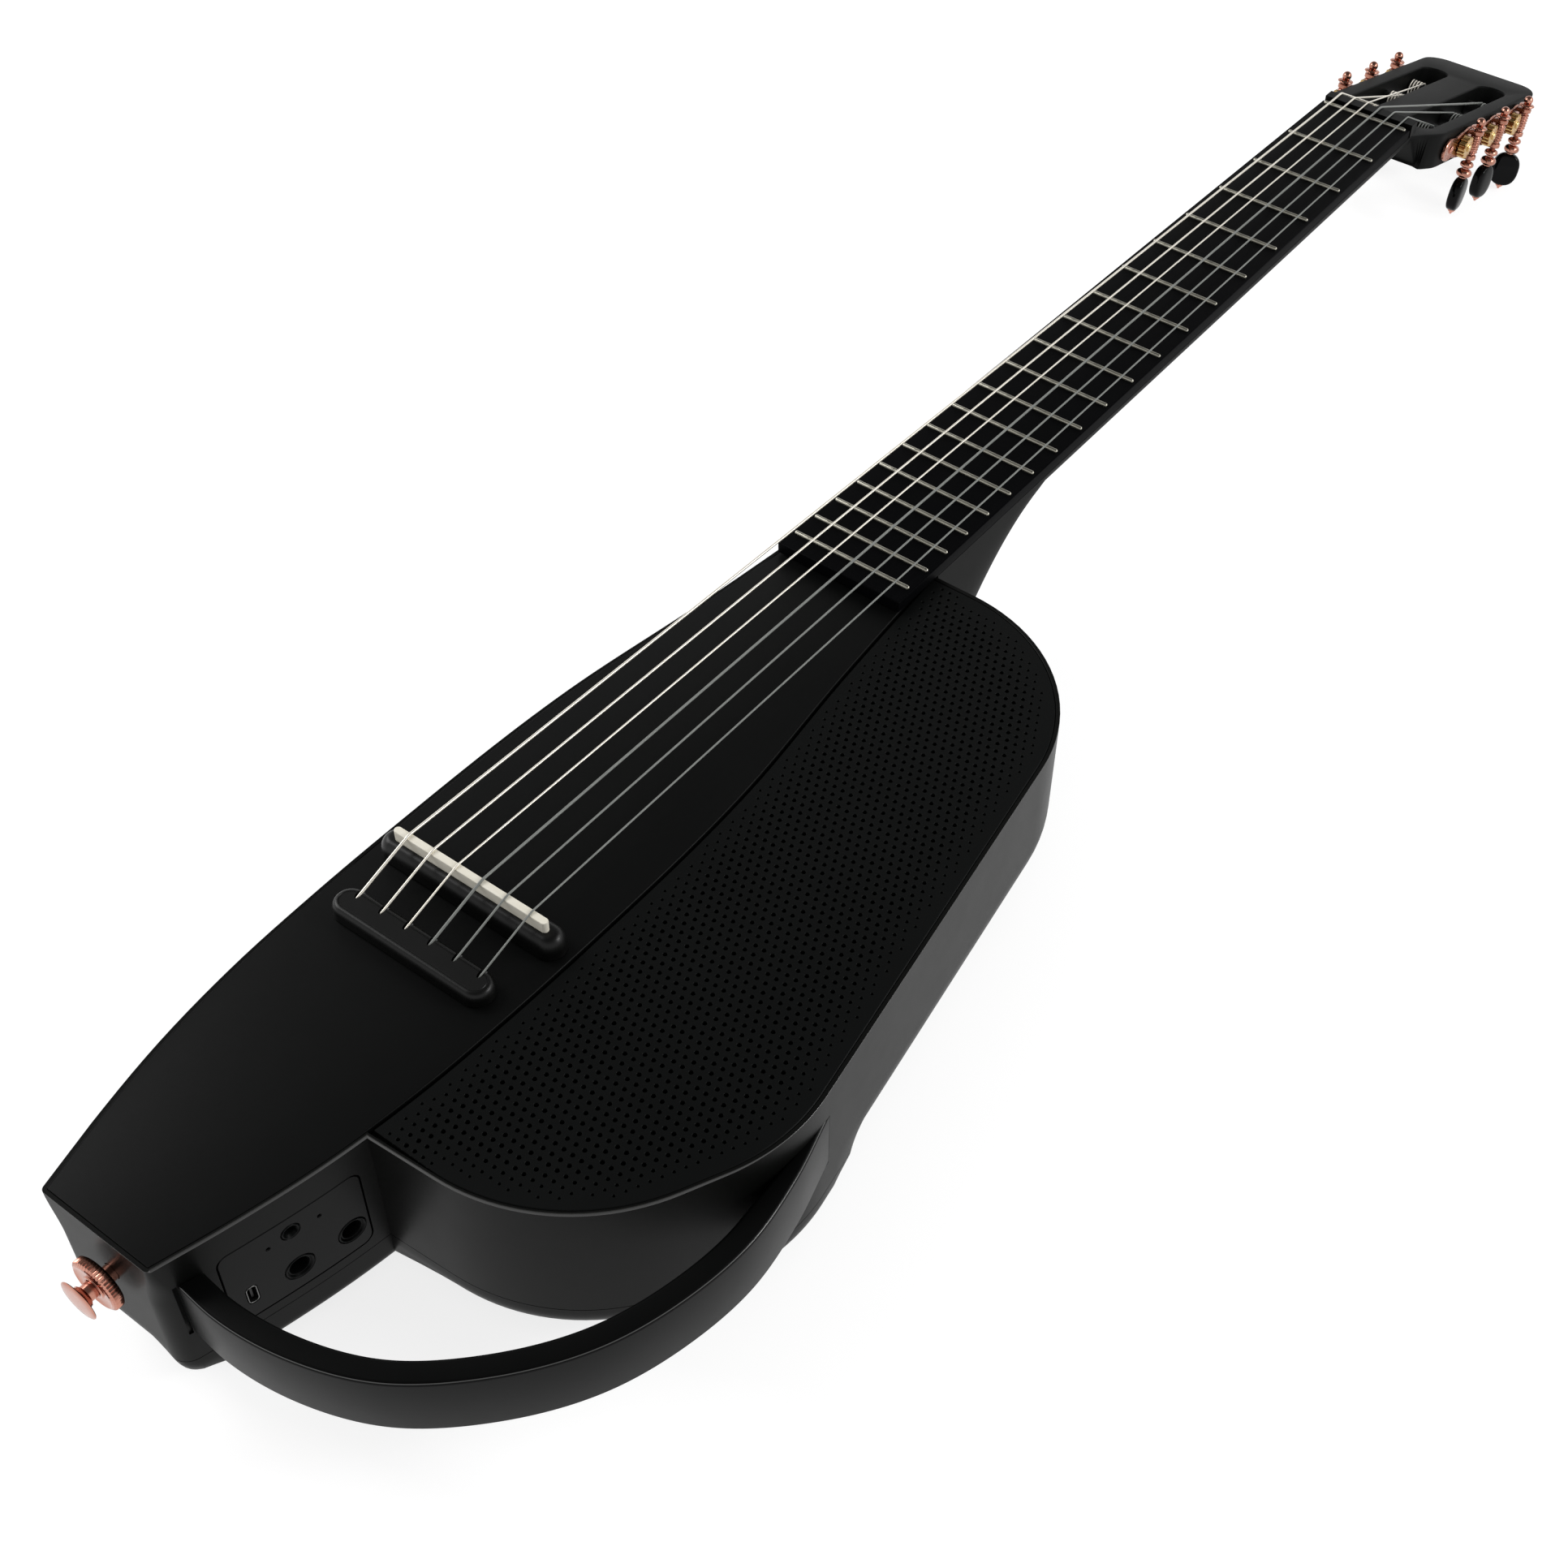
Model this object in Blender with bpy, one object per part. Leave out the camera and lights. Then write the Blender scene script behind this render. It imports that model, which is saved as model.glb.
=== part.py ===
"""A smart guitar with a slim spine, a sound pod on the treble side and a bow frame round its tail.

Metres, +Z out of the top, +X from the saddle towards the headstock, +Y to the bass side.
The origin lies on the flat back, under the middle of the saddle.
"""

import math

import bmesh
import bpy
import numpy as np
from mathutils import Matrix, Vector

# Clearances
FIT_GAP = 0.0003
CUT_MARGIN = 0.004
SPINDLE_GAP = 0.0004

# Scale, frets and strings
SCALE_LENGTH = 0.650
FRET_COUNT = 19
FRET_WIDTH = 0.0022
FRET_HEIGHT = 0.0009
FRET_HALF_AT_NUT = 0.0227
FRET_HALF_AT_SADDLE = 0.0305
STRING_RADII = (0.00036, 0.00041, 0.00051, 0.00038, 0.00045, 0.00055)
NUT_SPREAD = 0.0372
SADDLE_SPREAD = 0.0562
LOOPS = 4
LOOP_POINTS = 18
LOOP_PITCH = 0.0016
WINDING_STARTS = (0.0175, 0.0145, 0.0170)
WINDING_WAYS = (-1, 1, 1)

# Body: plan outline
TAIL_X = -0.1663
JOINT_X = 0.235
SPINE_HALF_WIDTHS = (
    (0.000, 0.0240),
    (0.066, 0.0312),
    (0.145, 0.0382),
    (0.240, 0.0432),
    (0.335, 0.0452),
    (0.440, 0.0458),
    (0.658, 0.0434),
    (0.824, 0.0354),
    (1.000, 0.0286),
)
SPINE_SAMPLES = 15
TAIL_SAMPLES = 8
TAIL_CORNER_RADIUS = 0.005
POD_FRONT_CORNER_Y = -0.1098
POD_FRONT_RADIUS = 0.0742
POD_TAIL_CORNER = (-0.0140, -0.1482)
POD_TAIL_RADIUS = 0.0717
POD_ROUND_CORNER = (-0.0878, -0.1121)
POD_ROUND_RADIUS = 0.0754
POD_ROOT_X = -0.0918
ARC_STEPS = 9

# Body: heights, walls and roundings
BODY_DEPTH = 0.071
WALL = 0.003
SEAM_HEIGHT = 0.015
SEAM_GAP = 0.0003
RIM = 0.0016
PLATE_THICKNESS = 0.0027
DECK_THICKNESS = 0.0027
GROOVE = 0.0012
SPINE_ROUNDING = 0.006
TAIL_ROUNDING = 0.024
TAIL_CORNER_ROUNDING = 0.014
TAIL_MIDDLE = (0.012, -0.010)
TAIL_ROUNDING_REACH = 0.016
POD_ROUNDING = 0.012
COMFORT_ROUNDING = 0.027
COMFORT_START_X = 0.023
COMFORT_RAMP = 0.012
POD_ROUNDING_START_Y = 0.0458
POD_ROUNDING_RAMP = 0.0153
COMFORT_END_X = 0.195
ROUNDING_STEPS = 5
CAVITY_STEPS = 3
INSET_LEVELS = 30

# Bow frame
BOW_TOP = 0.058
BOW_BOTTOM = 0.030
BOW_THICKNESS = 0.0085
BOW_LEAF_THICKNESS = 0.0035
BOW_LEAF_X = 0.0105
BOW_LEAF_LENGTH = 0.050
BOW_CHAMFER = 0.0022
BOW_SLIT = 0.0010
BOW_TAIL_INSET = 0.0063
BOW_FROM_TAIL = ((0.0053, -0.018), (0.0083, -0.043), (0.0193, -0.072), (0.0403, -0.097))
BOW_FROM_POD = ((-0.0820, 0.0062), (-0.0550, -0.0028), (-0.0290, -0.0061), (-0.0010, -0.0028))
BOW_STATIONS = 21
TENON_LENGTH = 0.006
TENON_INSET = 0.0020
TENON_HALF_HEIGHT = 0.007

# Jack panel and sockets, placed along the spine's treble wall
PANEL_X = -0.1225
PANEL_LENGTH = 0.051
PANEL_TOP = 0.058
PANEL_BOTTOM = 0.020
PANEL_CORNER = 0.004
BOARD_THICKNESS = 0.0016
BOARD_SETBACK = 0.0052
AUDIO_SOCKETS = (
    (-0.1041, 0.0311, 0.0052, 0.0034),
    (-0.1235, 0.0306, 0.0052, 0.0034),
    (-0.1233, 0.0508, 0.0032, 0.0018),
)
SOCKET_DEPTH = 0.013
POWER_PLACE = (-0.1400, 0.0314)
POWER_RIM = (0.0042, 0.0094)
POWER_MOUTH = (0.0028, 0.0078)
PIN_HOLES = ((-0.1133, 0.0495), (-0.1314, 0.0491))
PIN_HOLE_RADIUS = 0.0006

# Tail hardware
TAIL_AXIS_Y = -0.0020
TAIL_AXIS_Z = 0.0506
WHEEL_RADIUS = 0.0100
WHEEL_WIDTH = 0.0044
WHEEL_STANDOFF = 0.0032
WHEEL_CHAMFER = 0.0008
WHEEL_SEGMENTS = 24
STEM_RADIUS = 0.0030
FLANGE_RADIUS = 0.0076
FLANGE_EDGE = 0.0004
STRAP_BUTTON_REACH = 0.0129
STEM_ROOT = 0.009
FLARE_START = 0.45
FLARE_KNEE = (0.15, 0.5)
FLANGE_ROUNDING = 0.3

# Bridge
SADDLE_RISE = 0.0132
SADDLE_THICKNESS = 0.003
SADDLE_CREST_SLOPE = 0.45
SADDLE_HALF_LENGTH = 0.035
CARRIER_HALF_WIDTH = 0.006
CARRIER_HALF_LENGTH = 0.041
CARRIER_HEIGHT = 0.0085
PICKUP_HEIGHT = 0.0016
TIE_X = -0.0295
TIE_HALF_WIDTH = 0.0056
TIE_HALF_LENGTH = 0.0353
TIE_HEIGHT = 0.006
TIE_HOLE_X = -0.0252
TIE_HOLE_RADIUS = 0.0012
TIE_HOLE_DEPTH = 0.0085
EDGE_CHAMFER = 0.0012

# Neck
NECK_RISE = 0.0007
NECK_DEPTH = 0.0145
NECK_FULLNESS = 2.0
HEEL_FULLNESS = 3.6
HEEL_LIFT = 0.0062
HEEL_FLAT = 0.027
HEEL_LENGTH = 0.080
HEEL_POWER = 1.6
BOARD_MARGIN = 0.0015
FRETBOARD_THICKNESS = 0.0048
FRETBOARD_TAIL = 0.009
FRETBOARD_HEAD = 0.002
GUIDE_START = 0.004
GUIDE_LENGTH = 0.006
GUIDE_RISE = 0.0014
GUIDE_SLOT = 0.0018

# Headstock, in its own frame: s along the face from the nut, k out of the face
HEAD_SETBACK = 0.0054
HEAD_TILT = math.radians(14)
HEAD_THICKNESS = 0.018
HEAD_TOE = 0.006
HEAD_LENGTH = 0.1625
HEAD_HALF_WIDTH = 0.033
HEAD_CORNER = 0.012
HEAD_FLARE = ((0.0, 0.0242), (0.009, 0.028), (0.019, 0.032), (0.028, 0.033))
HEAD_CHAMFER = 0.0012
SLOT_INNER = 0.0092
SLOT_OUTER = 0.0246
SLOT_START = 0.021
SLOT_END = 0.136

# Tuners
ROLLER_FIRST = 0.049
ROLLER_SPACING = 0.035
ROLLER_K = -0.0095
ROLLER_RADIUS = 0.0040
PIVOT_RADIUS = 0.0020
PIVOT_DEPTH = 0.0030
PLATE_METAL = 0.0017
PLATE_START = 0.027
PLATE_END = 0.141
PLATE_BOTTOM = -0.0172
PLATE_TOP = -0.0016
GEAR_RADIUS = 0.0057
GEAR_ROOT = 0.0047
GEAR_TEETH = 14
GEAR_WIDTH = 0.004
WORM_RADIUS = 0.0030
WORM_Y = 0.0386
SHAFT_RADIUS = 0.0018
LUG_HALF = 0.0032
LUG_THICKNESS = 0.0025
LUG_TOP = -0.0018
LUG_BOTTOM = -0.0170
KEY_FINIAL = (
    (0.0046, 0),
    (0.0038, 0.0018),
    (0.0020, 0.0026),
    (0.0002, 0.0018),
    (-0.0008, 0.0024),
    (-0.0016, SHAFT_RADIUS),
)
KEY_BEADS = ((-0.0202, SHAFT_RADIUS), (-0.0222, 0.0031), (-0.0244, 0.0016), (-0.0262, 0.0028))
BUTTON_TOP = -0.0295
BUTTON_LENGTH = 0.0148
BUTTON_HALF_WIDTH = 0.0075
BUTTON_HALF_THICKNESS = 0.0028
BUTTON_SOCKET_RADIUS = 0.0022
BUTTON_TIP = (0.0012, 0.0024)
BUTTON_TURNS = tuple(math.radians(turn) for turn in (-5, 35, 80))

# Inner parts
DRIVER_X = 0.100
DRIVER_Y = -0.088
DRIVER_RADIUS = 0.036
DRIVER_OPENING = 0.031
DRIVER_DEPTH = 0.030
MAGNET_SHARE = 0.55
BASKET_SHARE = 0.92
CONE_SHARE = 0.35
CAP_SHARE = 0.30
MAGNET_HEIGHT_SHARE = 0.4
BATTERY_SIZE = (0.110, 0.056, 0.018)
BATTERY_X = 0.060
BOARD_SIZE = (0.090, 0.048)
BOARD_X = -0.070
POST_HEIGHT = 0.006
POST_RADIUS = 0.0025
POST_INSET = 0.006

PLATE_BASE = BODY_DEPTH - PLATE_THICKNESS
DECK_TOP = PLATE_BASE - FIT_GAP
DECK_BOTTOM = DECK_TOP - DECK_THICKNESS
NECK_TOP = BODY_DEPTH + NECK_RISE
HEEL_DEPTH = NECK_TOP - HEEL_LIFT
FRETBOARD_BASE = NECK_TOP + FIT_GAP
FRETBOARD_TOP = FRETBOARD_BASE + FRETBOARD_THICKNESS
FRET_TOP = FRETBOARD_TOP + FIT_GAP + FRET_HEIGHT
SADDLE_TOP = BODY_DEPTH + SADDLE_RISE
GUIDE_TOP = FRET_TOP + GUIDE_RISE
HEAD_X = SCALE_LENGTH + HEAD_SETBACK
CARRIER_BASE = BODY_DEPTH + FIT_GAP
HEAD_FRAME = Matrix.Translation((HEAD_X, 0, NECK_TOP)) @ Matrix.Rotation(HEAD_TILT, 4, "Y")
WORM_OFFSET = GEAR_RADIUS + WORM_RADIUS + FIT_GAP
PLATE_INNER = HEAD_HALF_WIDTH + FIT_GAP
PLATE_OUTER = PLATE_INNER + PLATE_METAL
GEAR_INNER = PLATE_OUTER + SPINDLE_GAP

FINISHES = {
    "matte_black": ((0.020, 0.020, 0.021), 0.55, 0.0),
    "satin_black": ((0.016, 0.016, 0.017), 0.45, 0.0),
    "fretboard_black": ((0.010, 0.010, 0.011), 0.60, 0.0),
    "gloss_black": ((0.006, 0.006, 0.007), 0.12, 0.0),
    "ivory": ((0.78, 0.74, 0.62), 0.35, 0.0),
    "fret_metal": ((0.55, 0.54, 0.50), 0.30, 1.0),
    "rose_gold": ((0.78, 0.42, 0.33), 0.20, 1.0),
    "roller_white": ((0.80, 0.78, 0.72), 0.40, 0.0),
    "nylon": ((0.75, 0.74, 0.66), 0.25, 0.0),
    "wound_silver": ((0.60, 0.60, 0.60), 0.30, 1.0),
    "board_green": ((0.03, 0.12, 0.06), 0.50, 0.0),
    "battery_wrap": ((0.10, 0.12, 0.20), 0.45, 0.0),
    "socket_metal": ((0.45, 0.45, 0.46), 0.30, 1.0),
}


def clear_scene():
    for thing in list(bpy.data.objects):
        bpy.data.objects.remove(thing)


def material(name):
    """The finish of that name, made once."""
    found = bpy.data.materials.get(name)
    if found:
        return found
    colour, roughness, metallic = FINISHES[name]
    made = bpy.data.materials.new(name)
    made.use_nodes = True
    shader = made.node_tree.nodes["Principled BSDF"]
    shader.inputs["Base Color"].default_value = (*colour, 1)
    shader.inputs["Roughness"].default_value = roughness
    shader.inputs["Metallic"].default_value = metallic
    return made


def add_object(name, data, finish=None, frame=None):
    """An object in the scene. Without a finish it is a cutter, which is never drawn."""
    thing = bpy.data.objects.new(name, data)
    bpy.context.scene.collection.objects.link(thing)
    if frame is not None:
        thing.matrix_world = frame
    if finish:
        data.materials.append(material(finish))
    else:
        thing.hide_render = True
        thing.display_type = "WIRE"
    return thing


def finished(bm, name, finish=None, frame=None, smooth=False):
    """The bmesh as an object, with its faces turned outwards."""
    bmesh.ops.remove_doubles(bm, verts=bm.verts, dist=1e-7)
    bmesh.ops.recalc_face_normals(bm, faces=bm.faces)
    mesh = bpy.data.meshes.new(name)
    bm.to_mesh(mesh)
    bm.free()
    if smooth:
        mesh.shade_smooth()
        mesh.set_sharp_from_angle(angle=math.radians(35))
    return add_object(name, mesh, finish, frame)


def loft(name, rings, finish=None, frame=None, smooth=False):
    """A solid through rings of equally many points, closed by a face at each end."""
    bm = bmesh.new()
    loops = [[bm.verts.new(point) for point in ring] for ring in rings]
    for lower, upper in zip(loops, loops[1:]):
        for i in range(len(lower)):
            bm.faces.new((lower[i - 1], lower[i], upper[i], upper[i - 1]))
    bm.faces.new(loops[0][::-1])
    bm.faces.new(loops[-1])
    return finished(bm, name, finish, frame, smooth)


def at_height(outline, z):
    return [(x, y, z) for x, y in outline]


def prism(name, outline, low, high, finish=None, frame=None):
    """A plan outline stood up from the low height to the high one."""
    return loft(name, [at_height(outline, low), at_height(outline, high)], finish, frame)


def chamfered_prism(name, outline_at, low, high, chamfer, finish=None):
    """A prism whose top edge is cut back; outline_at gives its outline drawn in by a distance."""
    rings = [
        at_height(outline_at(0), low),
        at_height(outline_at(0), high - chamfer),
        at_height(outline_at(chamfer * 0.35), high - chamfer * 0.35),
        at_height(outline_at(chamfer), high),
    ]
    return loft(name, rings, finish, smooth=True)


def lathe(name, profile, segments, finish=None, frame=None):
    """A profile of (height, radius) pairs turned once round the local Z axis."""
    bm = bmesh.new()
    line = [bm.verts.new((radius, 0, height)) for height, radius in profile]
    edges = [bm.edges.new(pair) for pair in zip(line, line[1:])]
    bmesh.ops.spin(
        bm,
        geom=line + edges,
        cent=(0, 0, 0),
        axis=(0, 0, 1),
        angle=2 * math.pi,
        steps=segments,
        use_merge=True,
    )
    return finished(bm, name, finish, frame, smooth=True)


def cylinder(name, radius, low, high, segments=16, finish=None, frame=None):
    return lathe(name, ((low, 0), (low, radius), (high, radius), (high, 0)), segments, finish, frame)


def box(name, low, high, finish=None, frame=None):
    outline = ((low[0], low[1]), (high[0], low[1]), (high[0], high[1]), (low[0], high[1]))
    return prism(name, outline, low[2], high[2], finish, frame)


def combine(thing, operation, *others):
    """Live exact Booleans of the thing with each of the others."""
    for other in others:
        modifier = thing.modifiers.new(other.name, "BOOLEAN")
        modifier.operation = operation
        modifier.solver = "EXACT"
        modifier.object = other
    return thing


def smooth_through(points, x):
    """A cubic Hermite curve through the points, each slope taken from its neighbours."""
    xs, ys = np.transpose(points)
    slopes = np.gradient(ys, xs)
    i = np.clip(np.searchsorted(xs, x) - 1, 0, len(xs) - 2)
    span = xs[i + 1] - xs[i]
    t = (x - xs[i]) / span
    return (
        (1 + 2 * t) * (1 - t) ** 2 * ys[i]
        + t * (1 - t) ** 2 * span * slopes[i]
        + t**2 * (3 - 2 * t) * ys[i + 1]
        + t**2 * (t - 1) * span * slopes[i + 1]
    )


def smooth_step(x, start, length):
    t = np.clip((x - start) / length, 0, 1)
    return t * t * (3 - 2 * t)


def drawn_in(points, distance):
    """Each edge of a counter-clockwise outline moved inwards by the distance."""
    points = np.asarray(points, float)
    edges = np.roll(points, -1, axis=0) - points
    edges /= np.linalg.norm(edges, axis=1)[:, None]
    inward = np.stack([-edges[:, 1], edges[:, 0]], axis=1)
    before = np.roll(inward, 1, axis=0)
    mitre = (inward + before) / (1 + (inward * before).sum(axis=1))[:, None]
    return points + mitre * distance


def rounded(points, radii, inset=0.0):
    """A counter-clockwise outline drawn in by the inset, with each corner rounded by its radius."""
    corners = drawn_in(points, inset)
    outline = []
    for i, (corner, radius) in enumerate(zip(corners, radii)):
        if not radius:
            outline.append(corner)
            continue
        radius = max(radius - inset, 1e-4)
        back = corners[i - 1] - corner
        ahead = corners[(i + 1) % len(corners)] - corner
        back /= np.linalg.norm(back)
        ahead /= np.linalg.norm(ahead)
        half = math.acos(back @ ahead) / 2
        middle = (back + ahead) / np.linalg.norm(back + ahead)
        centre = corner + middle * radius / math.sin(half)
        start = corner + back * radius / math.tan(half) - centre
        end = corner + ahead * radius / math.tan(half) - centre
        turn = math.pi - 2 * half
        for share in np.linspace(0, 1, ARC_STEPS):
            blend = math.sin((1 - share) * turn) * start + math.sin(share * turn) * end
            outline.append(centre + blend / math.sin(turn))
    return np.array(outline)


def drawn_in_each(corners, insets):
    """The rounded outline with each point drawn in by its own inset, read between whole outlines."""
    levels = np.linspace(0, insets.max() + CUT_MARGIN, INSET_LEVELS)
    outlines = np.array([rounded(*corners, level) for level in levels])
    place = insets / levels[1]
    below = place.astype(int)
    share = (place - below)[:, None]
    points = np.arange(len(insets))
    return outlines[below, points] * (1 - share) + outlines[below + 1, points] * share


def rounded_bar(half_x, half_y, centre_x=0.0, centre_y=0.0):
    """Outline of a bar lying along Y with full round ends, as a function of how far it is drawn in."""

    def outline_at(inset):
        radius = half_x - inset
        angles = np.linspace(0, math.pi, 8)
        straight = half_y - half_x
        upper = [(radius * math.cos(a), straight + radius * math.sin(a)) for a in angles]
        lower = [(-x, -y) for x, y in upper]
        return [(centre_x + x, centre_y + y) for x, y in upper + lower]

    return outline_at


def spine_half_width(x):
    return smooth_through(SPINE_HALF_WIDTHS, (x - TAIL_X) / (JOINT_X - TAIL_X))


def spine_corners():
    """The spine's outline, counter-clockwise from the treble corner of the tail."""
    xs = np.linspace(TAIL_X, JOINT_X, SPINE_SAMPLES)
    half = spine_half_width(xs)
    treble = np.stack([xs, -half], axis=1)
    bass = np.stack([xs, half], axis=1)[::-1]
    points = np.concatenate([treble, bass])
    radii = np.zeros(len(points))
    radii[[0, -1]] = TAIL_CORNER_RADIUS
    return points, radii


def pod_side_y(x):
    """The pod's outer wall, a straight line from its tail corner to its front corner."""
    x0, y0 = POD_TAIL_CORNER
    return y0 + (POD_FRONT_CORNER_Y - y0) * (x - x0) / (JOINT_X - x0)


def pod_corners():
    """The pod's outline, counter-clockwise from its root at the spine; it closes inside the spine."""
    root = np.array([POD_ROOT_X, -float(spine_half_width(POD_ROOT_X))])
    inside = root + (root - POD_ROUND_CORNER) * 0.4
    ramp = COMFORT_START_X + COMFORT_RAMP * np.linspace(-0.25, 1.25, 5)
    side = [(x, pod_side_y(x)) for x in ramp]
    front = [(JOINT_X, POD_FRONT_CORNER_Y), (JOINT_X, 0)]
    points = [tuple(inside), POD_ROUND_CORNER, POD_TAIL_CORNER, *side, *front]
    radii = [0, POD_ROUND_RADIUS, POD_TAIL_RADIUS, *([0] * len(side)), POD_FRONT_RADIUS, 0]
    return points, radii


def body_corners():
    """The whole body's outline, counter-clockwise from the treble corner of the tail."""
    near = np.linspace(TAIL_X, POD_ROOT_X, TAIL_SAMPLES)
    along = np.linspace(TAIL_X, JOINT_X, SPINE_SAMPLES)[::-1]
    treble = np.stack([near, -spine_half_width(near)], axis=1)
    bass = np.stack([along, spine_half_width(along)], axis=1)
    pod_points, pod_radii = pod_corners()
    tail = [(TAIL_X, y) for y in TAIL_MIDDLE]
    points = np.concatenate([treble, pod_points[1:-1], bass, tail])
    radii = [TAIL_CORNER_RADIUS, *([0] * (len(near) - 1)), *pod_radii[1:-1], *([0] * (len(along) - 1))]
    return points, [*radii, TAIL_CORNER_RADIUS, 0, 0]


def body_roundness(points):
    """Back edge radius along the outline: small on the spine, larger round its tail and the pod.

    The tail's edge is fuller in its middle than at its treble corner.
    The pod's outer side has a deep comfort bevel, which ends in a short ramp.
    """
    x, y = points.T
    near_tail = 1 - smooth_step(x, TAIL_X, TAIL_ROUNDING_REACH)
    on_pod = smooth_step(-y, POD_ROUNDING_START_Y, POD_ROUNDING_RAMP)
    bevel = smooth_step(x, COMFORT_START_X, COMFORT_RAMP)
    bevel *= 1 - smooth_step(x, COMFORT_END_X, JOINT_X - COMFORT_END_X)
    pod = POD_ROUNDING + (COMFORT_ROUNDING - POD_ROUNDING) * bevel
    middle = smooth_step(y, -SPINE_HALF_WIDTHS[0][1], SPINE_HALF_WIDTHS[0][1] + TAIL_MIDDLE[1])
    tail = TAIL_CORNER_ROUNDING + (TAIL_ROUNDING - TAIL_CORNER_ROUNDING) * middle
    return SPINE_ROUNDING + (tail - SPINE_ROUNDING) * near_tail + (pod - SPINE_ROUNDING) * on_pod


def body_block(name, offset, top, steps, finish=None):
    """The outline drawn in by the offset, stood up to the top, its back edge rounded."""
    corners = body_corners()
    edge = np.maximum(body_roundness(rounded(*corners)) - offset, offset / 2)
    rings = [at_height(rounded(*corners, offset), top)]
    for angle in np.linspace(0, math.pi / 2, steps):
        plan = drawn_in_each(corners, offset + edge * (1 - math.cos(angle)))
        rings.append(np.column_stack([plan, offset + edge * (1 - math.sin(angle))]))
    return loft(name, rings, finish, smooth=True)


def body_outer(name, finish):
    return body_block(name, 0, BODY_DEPTH, ROUNDING_STEPS, finish)


def body_cavity(name):
    """The hollow, leaving the walls, the deck and a thicker wall behind the bow's pocket."""
    hollow = body_block(name, WALL, DECK_BOTTOM, CAVITY_STEPS)
    return combine(hollow, "DIFFERENCE", bow_bar(name + "_boss", FIT_GAP + WALL))


def slab_below(name, height):
    reach = 2 * (JOINT_X - TAIL_X)
    return box(name, (-reach, -reach, -CUT_MARGIN), (reach, reach, height))


def slab_above(name, height):
    reach = 2 * (JOINT_X - TAIL_X)
    return box(name, (-reach, -reach, height), (reach, reach, BODY_DEPTH + CUT_MARGIN))


def plan_of_spine(inset):
    return rounded(*spine_corners(), inset)


def plan_of_pod(inset):
    return rounded(*pod_corners(), inset)


def wall_frame():
    """Jack panel's frame on the spine's treble wall: X along it to the neck, Y up, Z out of it."""
    step = 1e-4
    slope = (spine_half_width(PANEL_X + step) - spine_half_width(PANEL_X - step)) / (2 * step)
    along = Vector((1, -slope, 0)).normalized()
    up = Vector((0, 0, 1))
    out = along.cross(up)
    place = Vector((PANEL_X, -float(spine_half_width(PANEL_X)), 0))
    frame = Matrix.Identity(4)
    for column, direction in enumerate((along, up, out)):
        frame.col[column] = (*direction, 0)
    frame.col[3] = (*place, 1)
    return frame


def on_wall(x, z):
    """A point of the treble wall, in the jack panel's frame."""
    return wall_frame().inverted() @ Vector((x, -float(spine_half_width(x)), z))


def panel_outline(grow):
    half = PANEL_LENGTH / 2
    points = ((-half, PANEL_BOTTOM), (half, PANEL_BOTTOM), (half, PANEL_TOP), (-half, PANEL_TOP))
    return rounded(points, (PANEL_CORNER,) * 4, -grow)


def panel_prism(name, grow):
    return prism(name, panel_outline(grow), -2 * WALL - CUT_MARGIN, CUT_MARGIN, frame=wall_frame())


def tail_frame():
    """Frame of the tail hardware: local Z runs out of the tail."""
    return Matrix.Translation((TAIL_X, TAIL_AXIS_Y, TAIL_AXIS_Z)) @ Matrix.Rotation(-math.pi / 2, 4, "Y")


def bow_line():
    """The bow's outer face in plan, from the tail of the spine to its leaf in the pod's wall."""
    tail = np.array([TAIL_X, -spine_half_width(TAIL_X)])
    start_x = TAIL_X + BOW_TAIL_INSET
    points = [(start_x, -spine_half_width(start_x) - BOW_SLIT)]
    points += [tuple(tail + step) for step in BOW_FROM_TAIL]
    points += [tuple(np.array(POD_TAIL_CORNER) + step) for step in BOW_FROM_POD]
    points.append((BOW_LEAF_X, pod_side_y(BOW_LEAF_X)))
    points = np.array(points)
    chords = np.linalg.norm(np.diff(points, axis=0), axis=1)
    travel = np.concatenate([[0], np.cumsum(chords)])
    stations = np.linspace(0, travel[-1], BOW_STATIONS)
    curve = [smooth_through(np.column_stack([travel, points[:, axis]]), stations) for axis in (0, 1)]
    return np.stack(curve, axis=1), stations


def bow_bar(name, grow, finish=None):
    """The bow's bar: a rectangle with cut corners carried along the line, thinning into its leaf."""
    line, stations = bow_line()
    tangent = np.gradient(line, axis=0)
    tangent /= np.linalg.norm(tangent, axis=1)[:, None]
    inward = np.stack([-tangent[:, 1], tangent[:, 0]], axis=1)
    line[-1] += tangent[-1] * grow
    thinning = smooth_step(stations, stations[-1] - BOW_LEAF_LENGTH, BOW_LEAF_LENGTH)
    thickness = BOW_THICKNESS + (BOW_LEAF_THICKNESS - BOW_THICKNESS) * thinning
    rings = []
    for place, across, depth in zip(line, inward, thickness):
        cut = min(BOW_CHAMFER, depth * 0.4)
        section = rounded(
            ((-grow, BOW_BOTTOM - grow), (depth + grow, BOW_BOTTOM - grow),
             (depth + grow, BOW_TOP + grow), (-grow, BOW_TOP + grow)),
            (cut,) * 4,
        )[bow_section_points()]
        rings.append([(*(place + across * a), z) for a, z in section])
    rings[0] = [(x, -float(spine_half_width(x)) - BOW_SLIT + grow, z) for x, y, z in rings[0]]
    return loft(name, rings, finish, smooth=True)


def bow_section_points():
    """Three points of each rounded corner are enough for the bar."""
    picks = (0, ARC_STEPS // 2, ARC_STEPS - 1)
    return [corner * ARC_STEPS + pick for corner in range(4) for pick in picks]


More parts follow.
